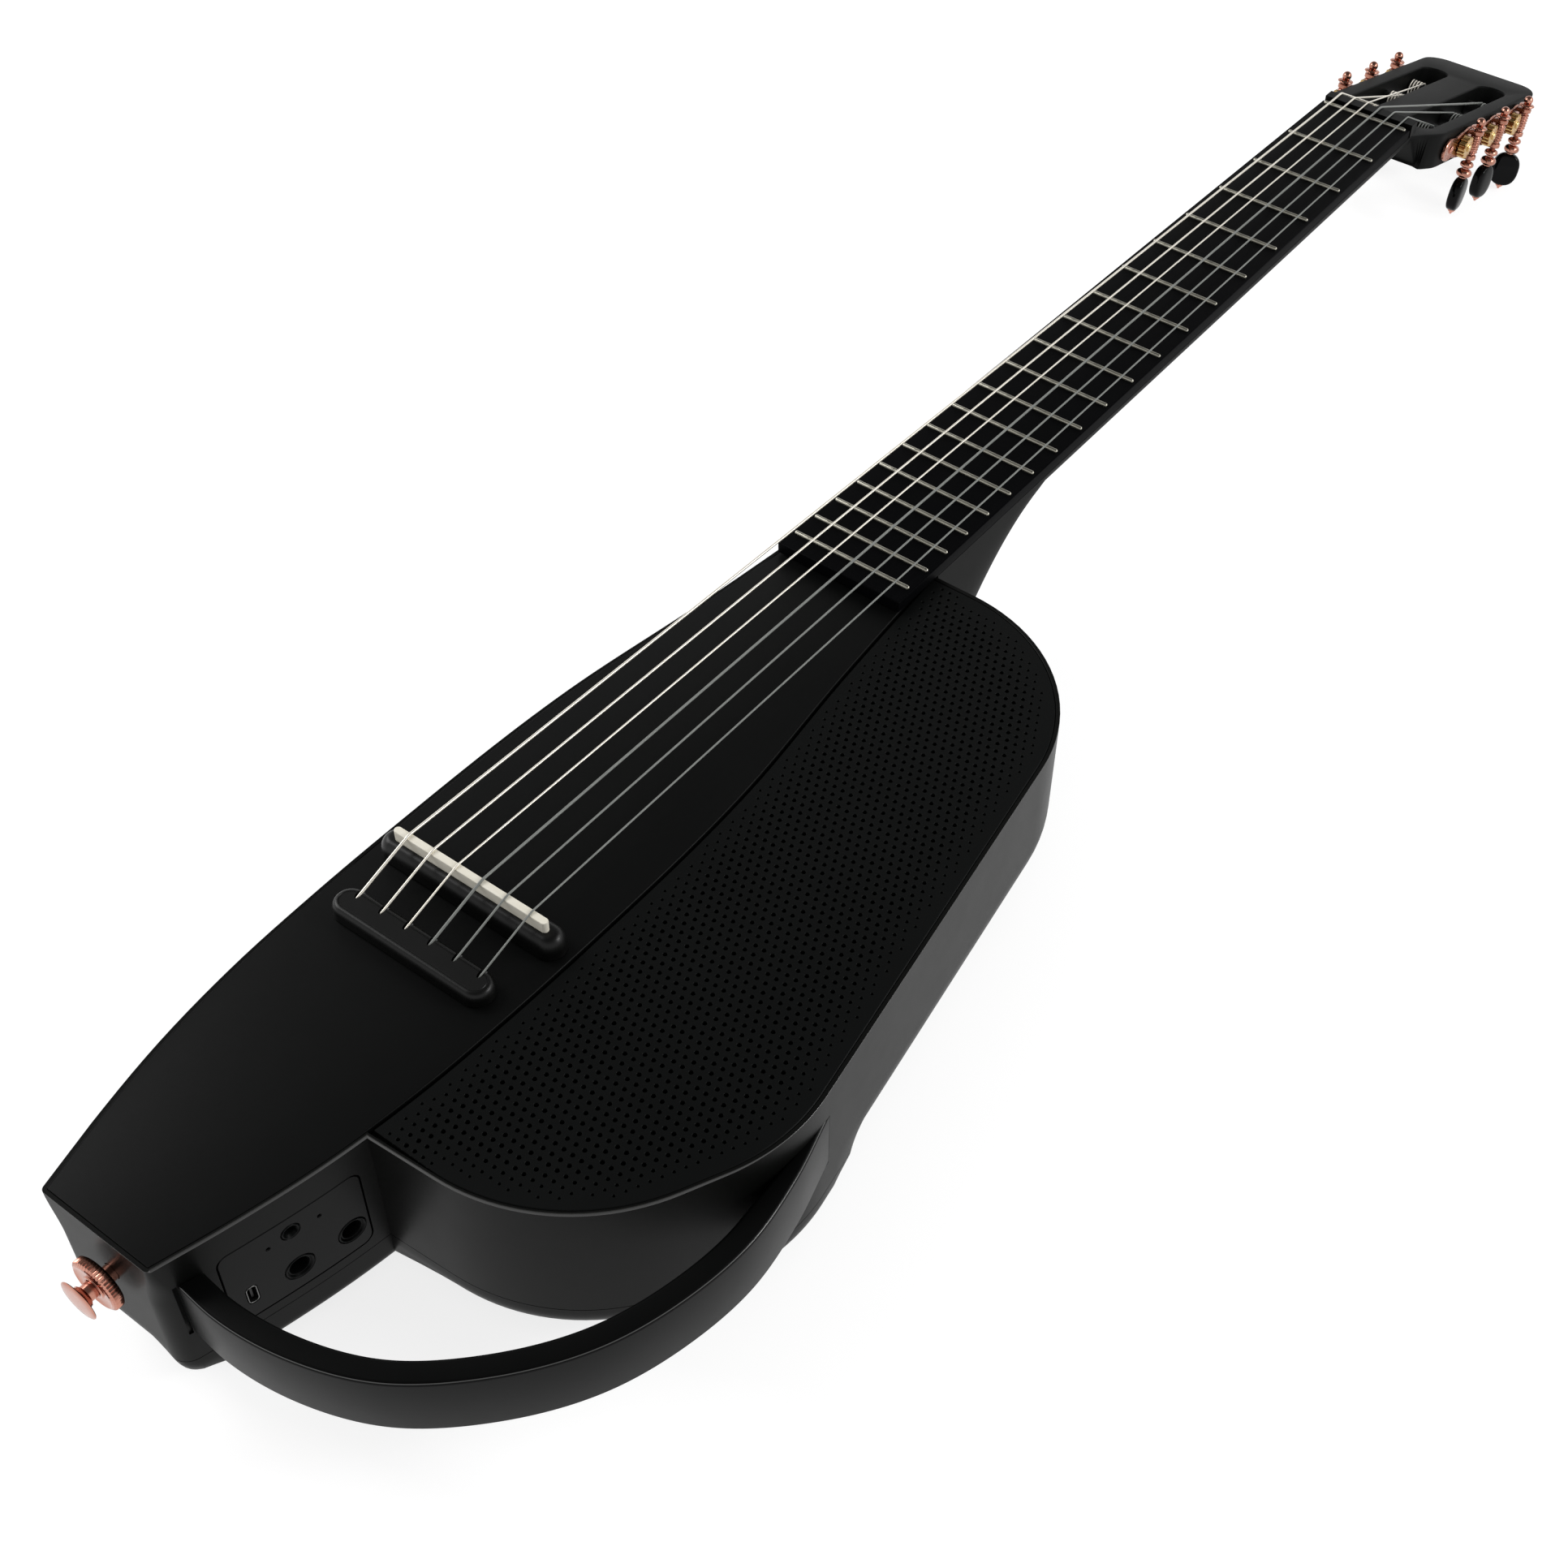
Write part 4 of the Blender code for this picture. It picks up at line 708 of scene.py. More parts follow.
bead_size = bead_sizes(body_plan)
bead_low = BODY_DEPTH - bead_size
bead_foot = body_at(BEAD_FOOT * bead_size, bead_low)
bead_top = body_at(BEAD_FOOT * bead_size, BODY_DEPTH)
chamfer = ((1.06, 0.0), (0.94, 0.03), (0.84, 0.12), (0.12, 0.84), (0.03, 0.94), (0.0, 1.0))
bead_slope = [body_at(bead_size * back, BODY_DEPTH - bead_size * fall) for back, fall in chamfer]
bead_rings = [bead_foot, bead_top, *bead_slope, bead_foot]
# The bead carries the rims' lighter black: a painted highlight line along the body's edge.
rim_sheen_bead = add_piece("shell_rim_sheen_bead", bead_rings, ring_faces(len(bead_rings), len(body_plan)))
dress(rim_sheen_bead, RIM_SHEEN_BLACK, "shell_black")

shell_low = SEAM_HEIGHT + SEAM_GAP
shell_rings = [body_at(RIM, DECK_TOP), body_at(RIM, BODY_DEPTH - EDGE_BREAK)]
shell_rings += [body_at(RIM - EDGE_BREAK, BODY_DEPTH), bead_top, bead_foot, body_at(0, bead_low)]
shell_rings += [wall_ring(z) for z in np.linspace(UPPER_BEND, CORNER_SOFTENS_AT, 7)]
shell_rings += [wall_ring(z) for z in np.linspace(LOWER_BEND, shell_low, 12)]
shell_rings += [wall_ring(z, WALL) for z in (*np.linspace(shell_low, INNER_BEND, 6), DECK_BOTTOM)]
shell = loft("body_shell_skin", shell_rings)

cover_rings = [wall_ring(z, WALL) for z in WALL + (SEAM_HEIGHT - WALL) * np.linspace(0, 1, 8) ** 2]
cover_rings += [wall_ring(z) for z in SEAM_HEIGHT * np.linspace(1, 0, 16) ** 2]
cover = dress(loft("back_cover_skin", cover_rings), SHELL, "shell_black", "back_cover")
print("shell:", len(shell.data.polygons), "cover:", len(cover.data.polygons), "faces")

# %% [markdown]
# ## The bow frame
#
# A rounded bar bends round the tail side of the pod, so that the guitar sits on a leg like a full
# body would. It leaves the spine's wall at a narrow dark slit and thins into a leaf that lies flush
# in the pod's side. The bar is one section, a rectangle with soft corners, carried along the line. A
# thread of the rims' lighter, glossier black lies in its outer top edge: a painted highlight line.

# %% Bow and its pocket
BOW_TOP = 0.058
BOW_BOTTOM = 0.030
BOW_THICKNESS = 0.0085
BOW_LEAF_THICKNESS = 0.0035
BOW_LEAF_X = 0.0105
BOW_LEAF_LENGTH = 0.050
BOW_CORNER = 0.0014
BOW_SLIT = 0.0010
BOW_TAIL_INSET = 0.0063
BOW_FROM_TAIL = ((0.0053, -0.018), (0.0083, -0.043), (0.0193, -0.072), (0.0403, -0.097))
BOW_FROM_POD = ((-0.0820, 0.0062), (-0.0550, -0.0028), (-0.0290, -0.0061), (-0.0010, -0.0028))
BOW_STATIONS = 110
TENON_INSET = 0.0020
TENON_HALF_HEIGHT = 0.007
TENON_GAP = 0.0004
POCKET_GAP = 0.00015
SHEEN_THREAD = ((0.00028, -0.00050), (0.00085, -0.00085), (0.00050, -0.00028))
SHADE_ALONG = (-0.0014, 0.0001)
SHADE_DEPTH = 0.0020
SHADE_TOP = BOW_TOP - 0.0010


def bow_line():
    """The bar's outer face in plan, at equal steps of travel."""
    tail = np.array([TAIL_X, -spine_half_width(TAIL_X)])
    start_x = TAIL_X + BOW_TAIL_INSET
    points = [(start_x, -spine_half_width(start_x) - BOW_SLIT)]
    points += [tuple(tail + step) for step in BOW_FROM_TAIL]
    points += [tuple(np.array(POD_TAIL_CORNER) + step) for step in BOW_FROM_POD]
    points = np.array([*points, (BOW_LEAF_X, pod_side_y(BOW_LEAF_X))])
    travel = travelled(points)
    stations = np.linspace(0, travel[-1], BOW_STATIONS)
    curve = [smooth_through(np.column_stack([travel, points[:, axis]]), stations) for axis in (0, 1)]
    return np.stack(curve, axis=1), stations


def bow_bar(name, grow, section=None):
    """Rings of a section, the bar's own if none is given: place + inward normal times its depth."""
    line, stations = bow_line()
    tangent = unit(np.gradient(line, axis=0))
    inward = np.stack([-tangent[:, 1], tangent[:, 0]], axis=1)
    line[-1] += tangent[-1] * grow
    thinning = smooth_step(stations, stations[-1] - BOW_LEAF_LENGTH, BOW_LEAF_LENGTH)
    thickness = BOW_THICKNESS + (BOW_LEAF_THICKNESS - BOW_THICKNESS) * thinning
    rings = []
    for place, across, depth in zip(line, inward, thickness):
        corner = min(BOW_CORNER, depth * 0.4)
        box = rectangle(-grow, BOW_BOTTOM - grow, depth + grow, BOW_TOP + grow)
        outline = rounded(box, (corner,) * 4, steps=6) if section is None else section
        rings.append(np.column_stack([place + across * outline[:, :1], outline[:, 1]]))
    rings = np.array(rings)
    limit = -spine_half_width(rings[..., 0]) - BOW_SLIT + grow
    rings[:6, :, 1] = np.minimum(rings[:6, :, 1], limit[:6])
    rings[0, :, 1] = limit[0]
    return loft(name, rings)


def block(name, low, high):
    """A plain box between two corners, for cutting and joining."""
    outline = rectangle(*low[:2], *high[:2])
    return loft(name, [level(outline, z) for z in (low[2], high[2])])


tongue_x = TAIL_X + BOW_TAIL_INSET + np.array([TENON_INSET, BOW_THICKNESS - TENON_INSET])
tongue_y = -spine_half_width(tongue_x.mean())
tongue_z = (BOW_TOP + BOW_BOTTOM) / 2 + np.array([-TENON_HALF_HEIGHT, TENON_HALF_HEIGHT])
tongue_low = (tongue_x[0], tongue_y - WALL, tongue_z[0])
tongue_high = (tongue_x[1], tongue_y - TENON_GAP, tongue_z[1])
tongue = block("bow_tongue", tongue_low, tongue_high)
bow = carve(bow_bar("bow_frame_bar", 0), "UNION", [tongue])
dress(bow, TRIM, "trim_black", "bow_frame")
# A thin strip of the rims' lighter black along the bow's outer top edge paints a highlight line.
sheen_thread = np.array(SHEEN_THREAD) + (0, BOW_TOP)
dress(bow_bar("bow_painted_edge_sheen", 0, sheen_thread), RIM_SHEEN_BLACK, "trim_black")

# Two cutters for the shell: the leaf's pocket, and the dark gap beside the bow's root.
pocket = bow_bar("bow_pocket", POCKET_GAP)
shade_x = TAIL_X + BOW_TAIL_INSET + np.array(SHADE_ALONG)
shade_low = (shade_x[0], tongue_y - SHADE_DEPTH, BOW_BOTTOM)
shade_gap = block("bow_shade_gap", shade_low, (shade_x[1], tongue_y + SHADE_DEPTH, SHADE_TOP))
print("bow:", len(bow.data.polygons), "faces")

# %% [markdown]
# ## Plates with holes
#
# The jack panel, the tuner plates and the headstock are flat pieces with holes. A Boolean would do,
# but it leaves long thin faces. Here both faces are filled by a Delaunay triangulation between the
# loops, and every loop gets a wall with a cut edge, so the mesh stays even and closed.

# %% Pierced plates
def inside(points, loop):
    """Whether each point lies in the loop: a ray from it crosses an odd number of edges."""
    x, y = points.T[:, :, None]
    x0, y0 = loop.T[:, None]
    x1, y1 = np.roll(loop, -1, axis=0).T[:, None]
    crosses = (y0 > y) != (y1 > y)
    height = np.where(y1 == y0, 1, y1 - y0)
    return ((crosses & (x < x0 + (x1 - x0) * (y - y0) / height)).sum(axis=1) % 2).astype(bool)


def filled(loops, extra=()):
    """Triangles between the first loop and the others, which are its holes."""
    points = np.concatenate([*loops, np.reshape(extra, (-1, 2))])
    starts = np.cumsum([0, *[len(loop) for loop in loops]])
    edges = [
        (start + i, start + (i + 1) % len(loop))
        for start, loop in zip(starts, loops)
        for i in range(len(loop))
    ]
    made = delaunay_2d_cdt([Vector(p) for p in points.tolist()], edges, [], 1, 1e-9)
    if len(made[0]) != len(points):
        raise ValueError("the loops of a plate meet or cross")
    triangles = np.array(made[2])
    centres = points[triangles].mean(axis=1)
    keep = inside(centres, loops[0])
    for hole in loops[1:]:
        keep &= ~inside(centres, hole)
    return points, triangles[keep]


def pierced(outline, holes, low, high, edge=0.0002, extra=()):
    """Points and faces of a plate from the low to the high level with every edge cut back."""
    loops = [np.asarray(outline, float), *[np.asarray(hole, float)[::-1] for hole in holes]]
    cut = [drawn_in(loop, edge) for loop in loops]
    flat, triangles = filled(cut, extra)
    count = len(flat)
    points = [level(flat, z) for z in (low, high)]
    faces = triangles[:, ::-1].tolist() + (triangles + count).tolist()
    first = 2 * count
    for loop, drawn in zip(loops, cut):
        rings = [(drawn, low), (loop, low + edge), (loop, high - edge), (drawn, high)]
        points += [level(ring, z) for ring, z in rings]
        faces += ring_faces(4, len(loop), first)
        first += 4 * len(loop)
    return np.concatenate(points), faces


def circle(x, y, radius, steps=32):
    return round_rings(radius, angles(steps), 0)[:, :2] + (x, y)


print("plate helpers ready")

# %% [markdown]
# ## The jack panel
#
# A rounded panel lies in the treble wall beside the tail, with two large sockets, a small one, two
# pin holes and the power socket. The wall curves, so the panel is made flat, with extra points over
# its face, and then laid on the wall: along it, up, and out along the wall's own normal.

# %% Panel in the treble wall
PANEL_X = -0.1225
PANEL_LENGTH = 0.051
PANEL_TOP = 0.058
PANEL_BOTTOM = 0.020
PANEL_CORNER = 0.004
AUDIO_SOCKETS = (  # x, z, outer radius and bore
    (-0.1041, 0.0311, 0.0052, 0.0034), (-0.1235, 0.0306, 0.0052, 0.0034),
    (-0.1233, 0.0508, 0.0032, 0.0018),
)
POWER_PLACE = (-0.1400, 0.0314)
POWER_RIM = (0.0037, 0.0085)
POWER_MOUTH = (0.0031, 0.0079)
PIN_HOLES = ((-0.1133, 0.0495), (-0.1314, 0.0491))
PIN_HOLE_RADIUS = 0.0006
SOCKET_FIT = 0.00015
PANEL_EDGE = 0.0003
PANEL_GRID = (np.arange(-0.024, 0.025, 0.003), np.arange(0.0215, 0.058, 0.004))
GRID_CLEAR = 0.001
WINDOW_GAP = 0.0004
WINDOW_REACH = (-0.009, 0.003)
STEM_Y = -0.0020
STEM_Z = 0.0506
STEM_HOLE_RADIUS = 0.0033
STEM_HOLE_REACH = (-0.006, 0.004)
WALL_STEP = 1e-4


def wall_slope(x):
    """How fast the spine widens there, from two close half-widths."""
    return (spine_half_width(x + WALL_STEP) - spine_half_width(x - WALL_STEP)) / (2 * WALL_STEP)


def on_treble_wall(points):
    """(along, up, out) to the wall: the foot on the curve, then out along its normal."""
    along, up, out = np.asarray(points, float).T
    x = PANEL_X + along / math.hypot(1, wall_slope(PANEL_X))
    slope = wall_slope(x)
    length = np.hypot(1, slope)
    return np.column_stack([x - slope / length * out, -spine_half_width(x) - out / length, up])


def along_wall(x):
    return (x - PANEL_X) * math.hypot(1, wall_slope(PANEL_X))


def panel_outline(grow):
    box = rectangle(-PANEL_LENGTH / 2, PANEL_BOTTOM, PANEL_LENGTH / 2, PANEL_TOP)
    return rounded(box, [PANEL_CORNER] * 4, -grow, 8)


def slot_outline(size, grow=0.0):
    """A tall rounded mouth of that size round the power socket's place."""
    half_x, half_y = size[0] / 2, size[1] / 2
    mouth = rounded(rectangle(-half_x, -half_y, half_x, half_y), [half_x * 0.8] * 4, -grow, 6)
    return mouth + (along_wall(POWER_PLACE[0]), POWER_PLACE[1])


def subdivided(outline, step=0.003):
    """The outline with points added, so that no edge is longer than the step."""
    edges = zip(outline, np.roll(outline, -1, axis=0))
    parts = [a + (b - a) * np.arange(n)[:, None] / n
             for a, b in edges for n in [max(1, math.ceil(np.linalg.norm(b - a) / step))]]
    return np.concatenate(parts)


panel_holes = [circle(along_wall(x), z, radius + SOCKET_FIT) for x, z, radius, _ in AUDIO_SOCKETS]
panel_holes += [circle(along_wall(x), z, PIN_HOLE_RADIUS, 10) for x, z in PIN_HOLES]
panel_holes += [slot_outline(POWER_RIM, SOCKET_FIT)]
panel_edge = subdivided(panel_outline(0))
grid = np.stack(np.meshgrid(*PANEL_GRID), -1).reshape(-1, 2)
keep = inside(grid, drawn_in(panel_edge, GRID_CLEAR))
for hole in panel_holes:
    keep &= np.linalg.norm(grid - hole.mean(axis=0), axis=1) > np.ptp(hole[:, 1]) / 2 + GRID_CLEAR
points, faces = pierced(panel_edge, panel_holes, -WALL, 0, PANEL_EDGE, grid[keep])
panel = add_piece("jack_panel_face", on_treble_wall(points), faces)
dress(panel, TRIM, "trim_black", "jack_panel")

window_rings = [on_treble_wall(level(panel_outline(WINDOW_GAP), out)) for out in WINDOW_REACH]
window = loft("panel_window", window_rings)
tail_frame = Matrix.Translation((TAIL_X, STEM_Y, STEM_Z)) @ Matrix.Rotation(-math.pi / 2, 4, "Y")
stem_hole = rod("stem_hole", STEM_HOLE_RADIUS, *STEM_HOLE_REACH, 32, tail_frame)
carve(shell, "DIFFERENCE", [window, pocket, stem_hole, shade_gap])
dress(shell, SHELL, "shell_black", "body_shell")
print("panel:", len(panel.data.polygons), "faces, shell:", len(shell.data.polygons))

# %% [markdown]
# ## Sockets
#
# Each audio socket is a turned black ring with a thin lip and a deep dark bore. The power socket is
# a metal rim round a dark mouth with a tongue in it. The sockets' board lies behind the panel.

# %% Audio sockets and power socket
SOCKET_DEPTH = 0.013
SOCKET_BACK = -SOCKET_DEPTH - WALL / 2
LIP_WIDTH = 0.0005
CARD_EDGE = 0.0001
BOARD_SETBACK = 0.0052
BOARD_THICKNESS = 0.0016
POWER_DEPTH = 0.0045
TONGUE_HALF = (0.0004, 0.0030)
TONGUE_FRONT = -0.0012


def wall_place(x, z):
    """A frame on the treble wall: X along it, Y up, Z out of it."""
    slope = wall_slope(x)
    along = Vector((1, -slope, 0)).normalized()
    up = Vector((0, 0, 1))
    columns = Matrix((along, up, along.cross(up))).transposed().to_4x4()
    return Matrix.Translation((x, -float(spine_half_width(x)), z)) @ columns


def socket(number, x, z, radius, bore):
    """Profile of the ring from its deep floor out over the lip and back along the outside."""
    lip = radius - LIP_WIDTH
    profile = [
        (-SOCKET_DEPTH, 0), (-SOCKET_DEPTH, bore), (-0.0012, bore), (-0.0006, bore + 0.0003),
        (-0.0006, lip - 0.0006), (-0.0001, lip - 0.0002), (0.0001, lip), (0.0001, lip + 0.0002),
        (-0.0002, radius), (SOCKET_BACK, radius), (SOCKET_BACK, 0),
    ]
    piece = loft(f"audio_socket_{number}", turned(profile, 48, wall_place(x, z)), 30)
    return dress(piece, GRILLE, "driver_black")


sockets = [socket(number, *spec) for number, spec in enumerate(AUDIO_SOCKETS, 1)]
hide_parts("socket_board")
board_holes = [circle(along_wall(x), z, bore + 4 * SOCKET_FIT) for x, z, _, bore in AUDIO_SOCKETS]
board_edge = subdivided(panel_outline(-WALL / 2))
board_back = -BOARD_SETBACK - BOARD_THICKNESS
points, faces = pierced(board_edge, board_holes, board_back, -BOARD_SETBACK, CARD_EDGE)
board = add_piece("socket_board_plate", on_treble_wall(points), faces)

points, faces = pierced(slot_outline(POWER_RIM), [slot_outline(POWER_MOUTH)], -POWER_DEPTH, 0, CARD_EDGE)
power = add_piece("power_socket_rim", on_treble_wall(points), faces)
dress(power, STEEL, "socket_metal", "power_socket")
across, tall = TONGUE_HALF
contact = block("power_socket_tongue", (-across, -tall, -POWER_DEPTH), (across, tall, TONGUE_FRONT))
dress(moved(contact, wall_place(*POWER_PLACE)), BRIDGE, "driver_black")
print("sockets:", len(sockets))

# %% [markdown]
# ## The top plate and the grille's outline
#
# The spine's top plate is smooth, and a dark groove runs between it and the grille over the pod. The
# grille's outline is the pod's, as far as it lies outside the spine, closed by a line that follows
# the spine's curve at the groove's far side.

# %% Top plate
PLATE_SEAM = 0.0001
PLATE_EDGE = 0.00015
GROOVE_EDGE = 0.00060
EDGE_CHANGE = 0.008
PLATE_DEEPEST = 0.004
spine_at = reader(*spine_corners(), PLATE_DEEPEST, 12)
spine_plan = rounded(*spine_corners())
beside_grille = smooth_step(spine_plan[:, 0], POD_ROOT_X - EDGE_CHANGE / 2, EDGE_CHANGE)
beside_grille *= spine_plan[:, 1] < 0
plate_edge = PLATE_EDGE + (GROOVE_EDGE - PLATE_EDGE) * beside_grille
plate_inset = RIM + PLATE_SEAM + FIT_GAP * beside_grille
plate_rings = [spine_at(plate_inset, PLATE_BASE)]
for back, fall in rolled_edge(plate_edge, plate_edge, 6):
    plate_rings.append(spine_at(plate_inset + back, BODY_DEPTH - fall))
plate = dress(loft("top_plate_skin", plate_rings), TOP, "shell_black", "top_plate")
print("top plate:", len(plate.data.polygons), "faces")

# %% [markdown]
# ## The perforated grille
#
# The pod is covered by a plate with about two thousand round holes in staggered columns. A bump
# would stay flat at the edges, so every hole is real. Around each hole lies a six-sided cell, and the
# cells of the pattern share their corners. One cell is worked out once, as index tables, and numpy
# repeats it over all centres. The margin between the cells and the outline is triangulated.

# %% Where the holes are
HOLE_PITCH = 0.0036
FIRST_HOLE = (-0.0865, -0.0490)
RIM_MARGIN = 0.0040
GROOVE_MARGIN = 0.0028
SMALL_HOLE = 0.00052
LARGE_HOLE = 0.00086
GROWTH_REACH = 0.011
GRILLE_SEAM = 0.0002
POD_ARC_STEPS = 40
LATTICE_COLUMNS = 90
LATTICE_ROWS = (-32, 6)


def distance_to(points, line):
    """Least distance from each point to the line's pieces, by the foot of its perpendicular."""
    start = line[None, :-1]
    edge = np.diff(line, axis=0)[None]
    share = np.clip(((points[:, None] - start) * edge).sum(-1) / (edge**2).sum(-1), 0, 1)
    return np.linalg.norm(points[:, None] - start - share[..., None] * edge, axis=-1).min(axis=1)


def groove_y(x):
    """The grille's edge along the spine, the groove's width away from the top plate."""
    return -spine_half_width(x) + RIM + FIT_GAP - GROOVE


pod_plan = rounded(*pod_corners(), RIM + GRILLE_SEAM, POD_ARC_STEPS)
pod_plan = pod_plan[pod_plan[:, 1] < groove_y(pod_plan[:, 0])]
closing_x = np.linspace(pod_plan[-1, 0], pod_plan[0, 0], 90)
groove_plan = np.column_stack([closing_x, groove_y(closing_x)])
grille_plan = np.concatenate([pod_plan, groove_plan])
columns = np.arange(LATTICE_COLUMNS)[:, None]
lattice_x = FIRST_HOLE[0] + HOLE_PITCH * columns
lattice_y = FIRST_HOLE[1] + HOLE_PITCH / 2 * (columns % 2) + HOLE_PITCH * np.arange(*LATTICE_ROWS)
centres = np.stack(np.broadcast_arrays(lattice_x, lattice_y), -1).reshape(-1, 2)
centres = centres[inside(centres, grille_plan)]
to_groove = distance_to(centres, groove_plan) - GROOVE_MARGIN
clear = np.minimum(to_groove, distance_to(centres, pod_plan) - RIM_MARGIN)
centres = centres[clear > 0]
growth = smooth_step(clear[clear > 0], 0, GROWTH_REACH)
hole_radius = SMALL_HOLE + (LARGE_HOLE - SMALL_HOLE) * growth
print("holes:", len(centres))

# %% Cells, margins and walls
CELL_SIDES = 6
HOLE_SIDES = 10
HOLE_LIP = 0.00012
EDGE_LIP = 0.00035


def zipped(outer, inner):
    """Triangles of the ring between two loops of angles: step along whichever loop is behind."""
    outer, inner = [*outer, outer[0] + 2 * math.pi], [*inner, inner[0] + 2 * math.pi]
    i = j = 0
    triangles = []
    while i < len(outer) - 1 or j < len(inner) - 1:
        if j == len(inner) - 1 or (i < len(outer) - 1 and outer[i + 1] <= inner[j + 1]):
            triangles.append((i % CELL_SIDES, (i + 1) % CELL_SIDES, CELL_SIDES + j % HOLE_SIDES))
            i += 1
        else:
            after = CELL_SIDES + (j + 1) % HOLE_SIDES
            triangles.append((i % CELL_SIDES, after, CELL_SIDES + j % HOLE_SIDES))
            j += 1
    return np.array(triangles)


wide, narrow, tall = 0.625 * HOLE_PITCH, 0.375 * HOLE_PITCH, 0.5 * HOLE_PITCH
half_cell = np.array([(wide, 0), (narrow, tall), (-narrow, tall)])
cell = np.concatenate([half_cell, -half_cell])
cell_angles = np.arctan2(cell[:, 1], cell[:, 0]) % (2 * math.pi)
ring = circle(0, 0, 1, HOLE_SIDES)
fan = zipped(cell_angles, angles(HOLE_SIDES))

levels = (
    (cell, None, BODY_DEPTH), (ring, HOLE_LIP, BODY_DEPTH), (ring, 0, BODY_DEPTH - HOLE_LIP),
    (ring, 0, PLATE_BASE), (cell, None, PLATE_BASE),
)
layers = []
for shape, lip, z in levels:
    size = np.ones(len(centres)) if lip is None else hole_radius + lip
    plan = centres[:, None] + shape * size[:, None, None]
    layers.append(np.concatenate([plan, np.full((*plan.shape[:2], 1), z)], axis=-1))
cell_points = np.concatenate(layers, axis=1)
walls = np.array(ring_faces(3, HOLE_SIDES, CELL_SIDES))[:, ::-1]
underside = fan[:, ::-1] + 2 * HOLE_SIDES + (fan[:, ::-1] < CELL_SIDES) * (CELL_SIDES + HOLE_SIDES)
offsets = (np.arange(len(centres)) * cell_points.shape[1])[:, None, None]
tables = (fan, walls, underside)
cell_faces = [(offsets + table).reshape(-1, table.shape[1]).tolist() for table in tables]

corners = centres[:, None] + cell
keys, where = np.unique(np.round(corners.reshape(-1, 2), 7), axis=0, return_inverse=True)
where = where.reshape(-1, CELL_SIDES)
sides = np.sort(np.stack([where, np.roll(where, -1, axis=1)], -1).reshape(-1, 2), axis=1)
sides, used = np.unique(sides, axis=0, return_counts=True)
border = sides[used == 1]
rim_top = drawn_in(grille_plan, EDGE_LIP)
count = len(rim_top)
edges = [(i, (i + 1) % count) for i in range(count)] + (border + count).tolist()
flat = np.concatenate([rim_top, keys])
made = delaunay_2d_cdt([Vector(p) for p in flat.tolist()], edges, [], 1, 1e-9)
margin = np.array(made[2])
flat = np.array([tuple(p) for p in made[0]])
middle = flat[margin].mean(axis=1)
apart = np.abs(middle[:, None] - centres[None])
in_cell = ((apart[..., 1] < tall) & (apart[..., 0] < wide - apart[..., 1] / 2)).any(axis=1)
margin = margin[~in_cell & inside(middle, rim_top)]
loops = (
    (rim_top, BODY_DEPTH), (grille_plan, BODY_DEPTH - EDGE_LIP),
    (grille_plan, PLATE_BASE), (rim_top, PLATE_BASE),
)
first = cell_points.size // 3
points = [cell_points.reshape(-1, 3)]
points += [level(flat, z) for z in (BODY_DEPTH, PLATE_BASE)]
points += [level(loop, z) for loop, z in loops]
faces = sum(cell_faces, [])
faces += (first + margin).tolist() + (first + len(flat) + margin[:, ::-1]).tolist()
faces += ring_faces(4, count, first + 2 * len(flat))
grille = add_piece("speaker_grille_plate", np.concatenate(points), faces, 30)
dress(grille, GRILLE, "trim_black", "speaker_grille")
print("grille:", sum(len(face.vertices) - 2 for face in grille.data.polygons), "triangles")

# %% [markdown]
# ## Wheel and strap button at the tail
#
# A knurled thumb wheel sits on the stem of the strap button. Both are turned shapes. The knurling is
# a ripple in the rim's radius, 48 ridges round, that fades at the two chamfers.

# %% Tail hardware
WHEEL_RADIUS = 0.0100
WHEEL_WIDTH = 0.0044
WHEEL_STANDOFF = 0.0032
WHEEL_CHAMFER = 0.0008
WHEEL_EDGE = 0.0003
WHEEL_DISH = 0.0004
KNURLS = 48
KNURL_STEPS = 6
KNURL_DEPTH = 0.00042
STEM_RADIUS = 0.0030
FLANGE_RADIUS = 0.0076
FLANGE_EDGE = 0.0004
STRAP_BUTTON_REACH = 0.0129
STEM_ROOT = 0.009

start, end = WHEEL_STANDOFF, WHEEL_STANDOFF + WHEEL_WIDTH
bore = STEM_RADIUS + FIT_GAP
face = end - WHEEL_DISH
wheel_rim = ((0, 0.0016), (0.0002, 0.0010), (WHEEL_CHAMFER, 0.0001), (0.0010, 0))
wheel_profile = [(start + WHEEL_EDGE, bore), (start, bore + WHEEL_EDGE)]
wheel_profile += [(start + back, WHEEL_RADIUS - fall) for back, fall in wheel_rim]
wheel_profile += [(end - back, WHEEL_RADIUS - fall) for back, fall in wheel_rim[::-1]]
wheel_profile += [(face, WHEEL_RADIUS - 0.0026), (face, bore + 0.0012), (end, bore + 0.0009)]
wheel_profile += [(end, bore + WHEEL_EDGE), (end - WHEEL_EDGE, bore), (start + WHEEL_EDGE, bore)]
wheel_profile = np.array(wheel_profile)
wheel_rings = turned(wheel_profile, KNURLS * KNURL_STEPS)
ripple = 0.5 - 0.5 * np.cos(KNURLS * angles(KNURLS * KNURL_STEPS))
on_rim = (wheel_profile[:, 1] > WHEEL_RADIUS - 0.0002)[:, None]
shrink = 1 - on_rim * ripple * KNURL_DEPTH / WHEEL_RADIUS
wheel_rings[..., :2] *= shrink[..., None]
wheel_faces = ring_faces(len(wheel_profile), KNURLS * KNURL_STEPS)
wheel = add_piece("thumb_wheel_knurled", placed(wheel_rings, tail_frame), wheel_faces, 28)
dress(wheel, ROSE, "rose_gold", "thumb_wheel", body="wheel")

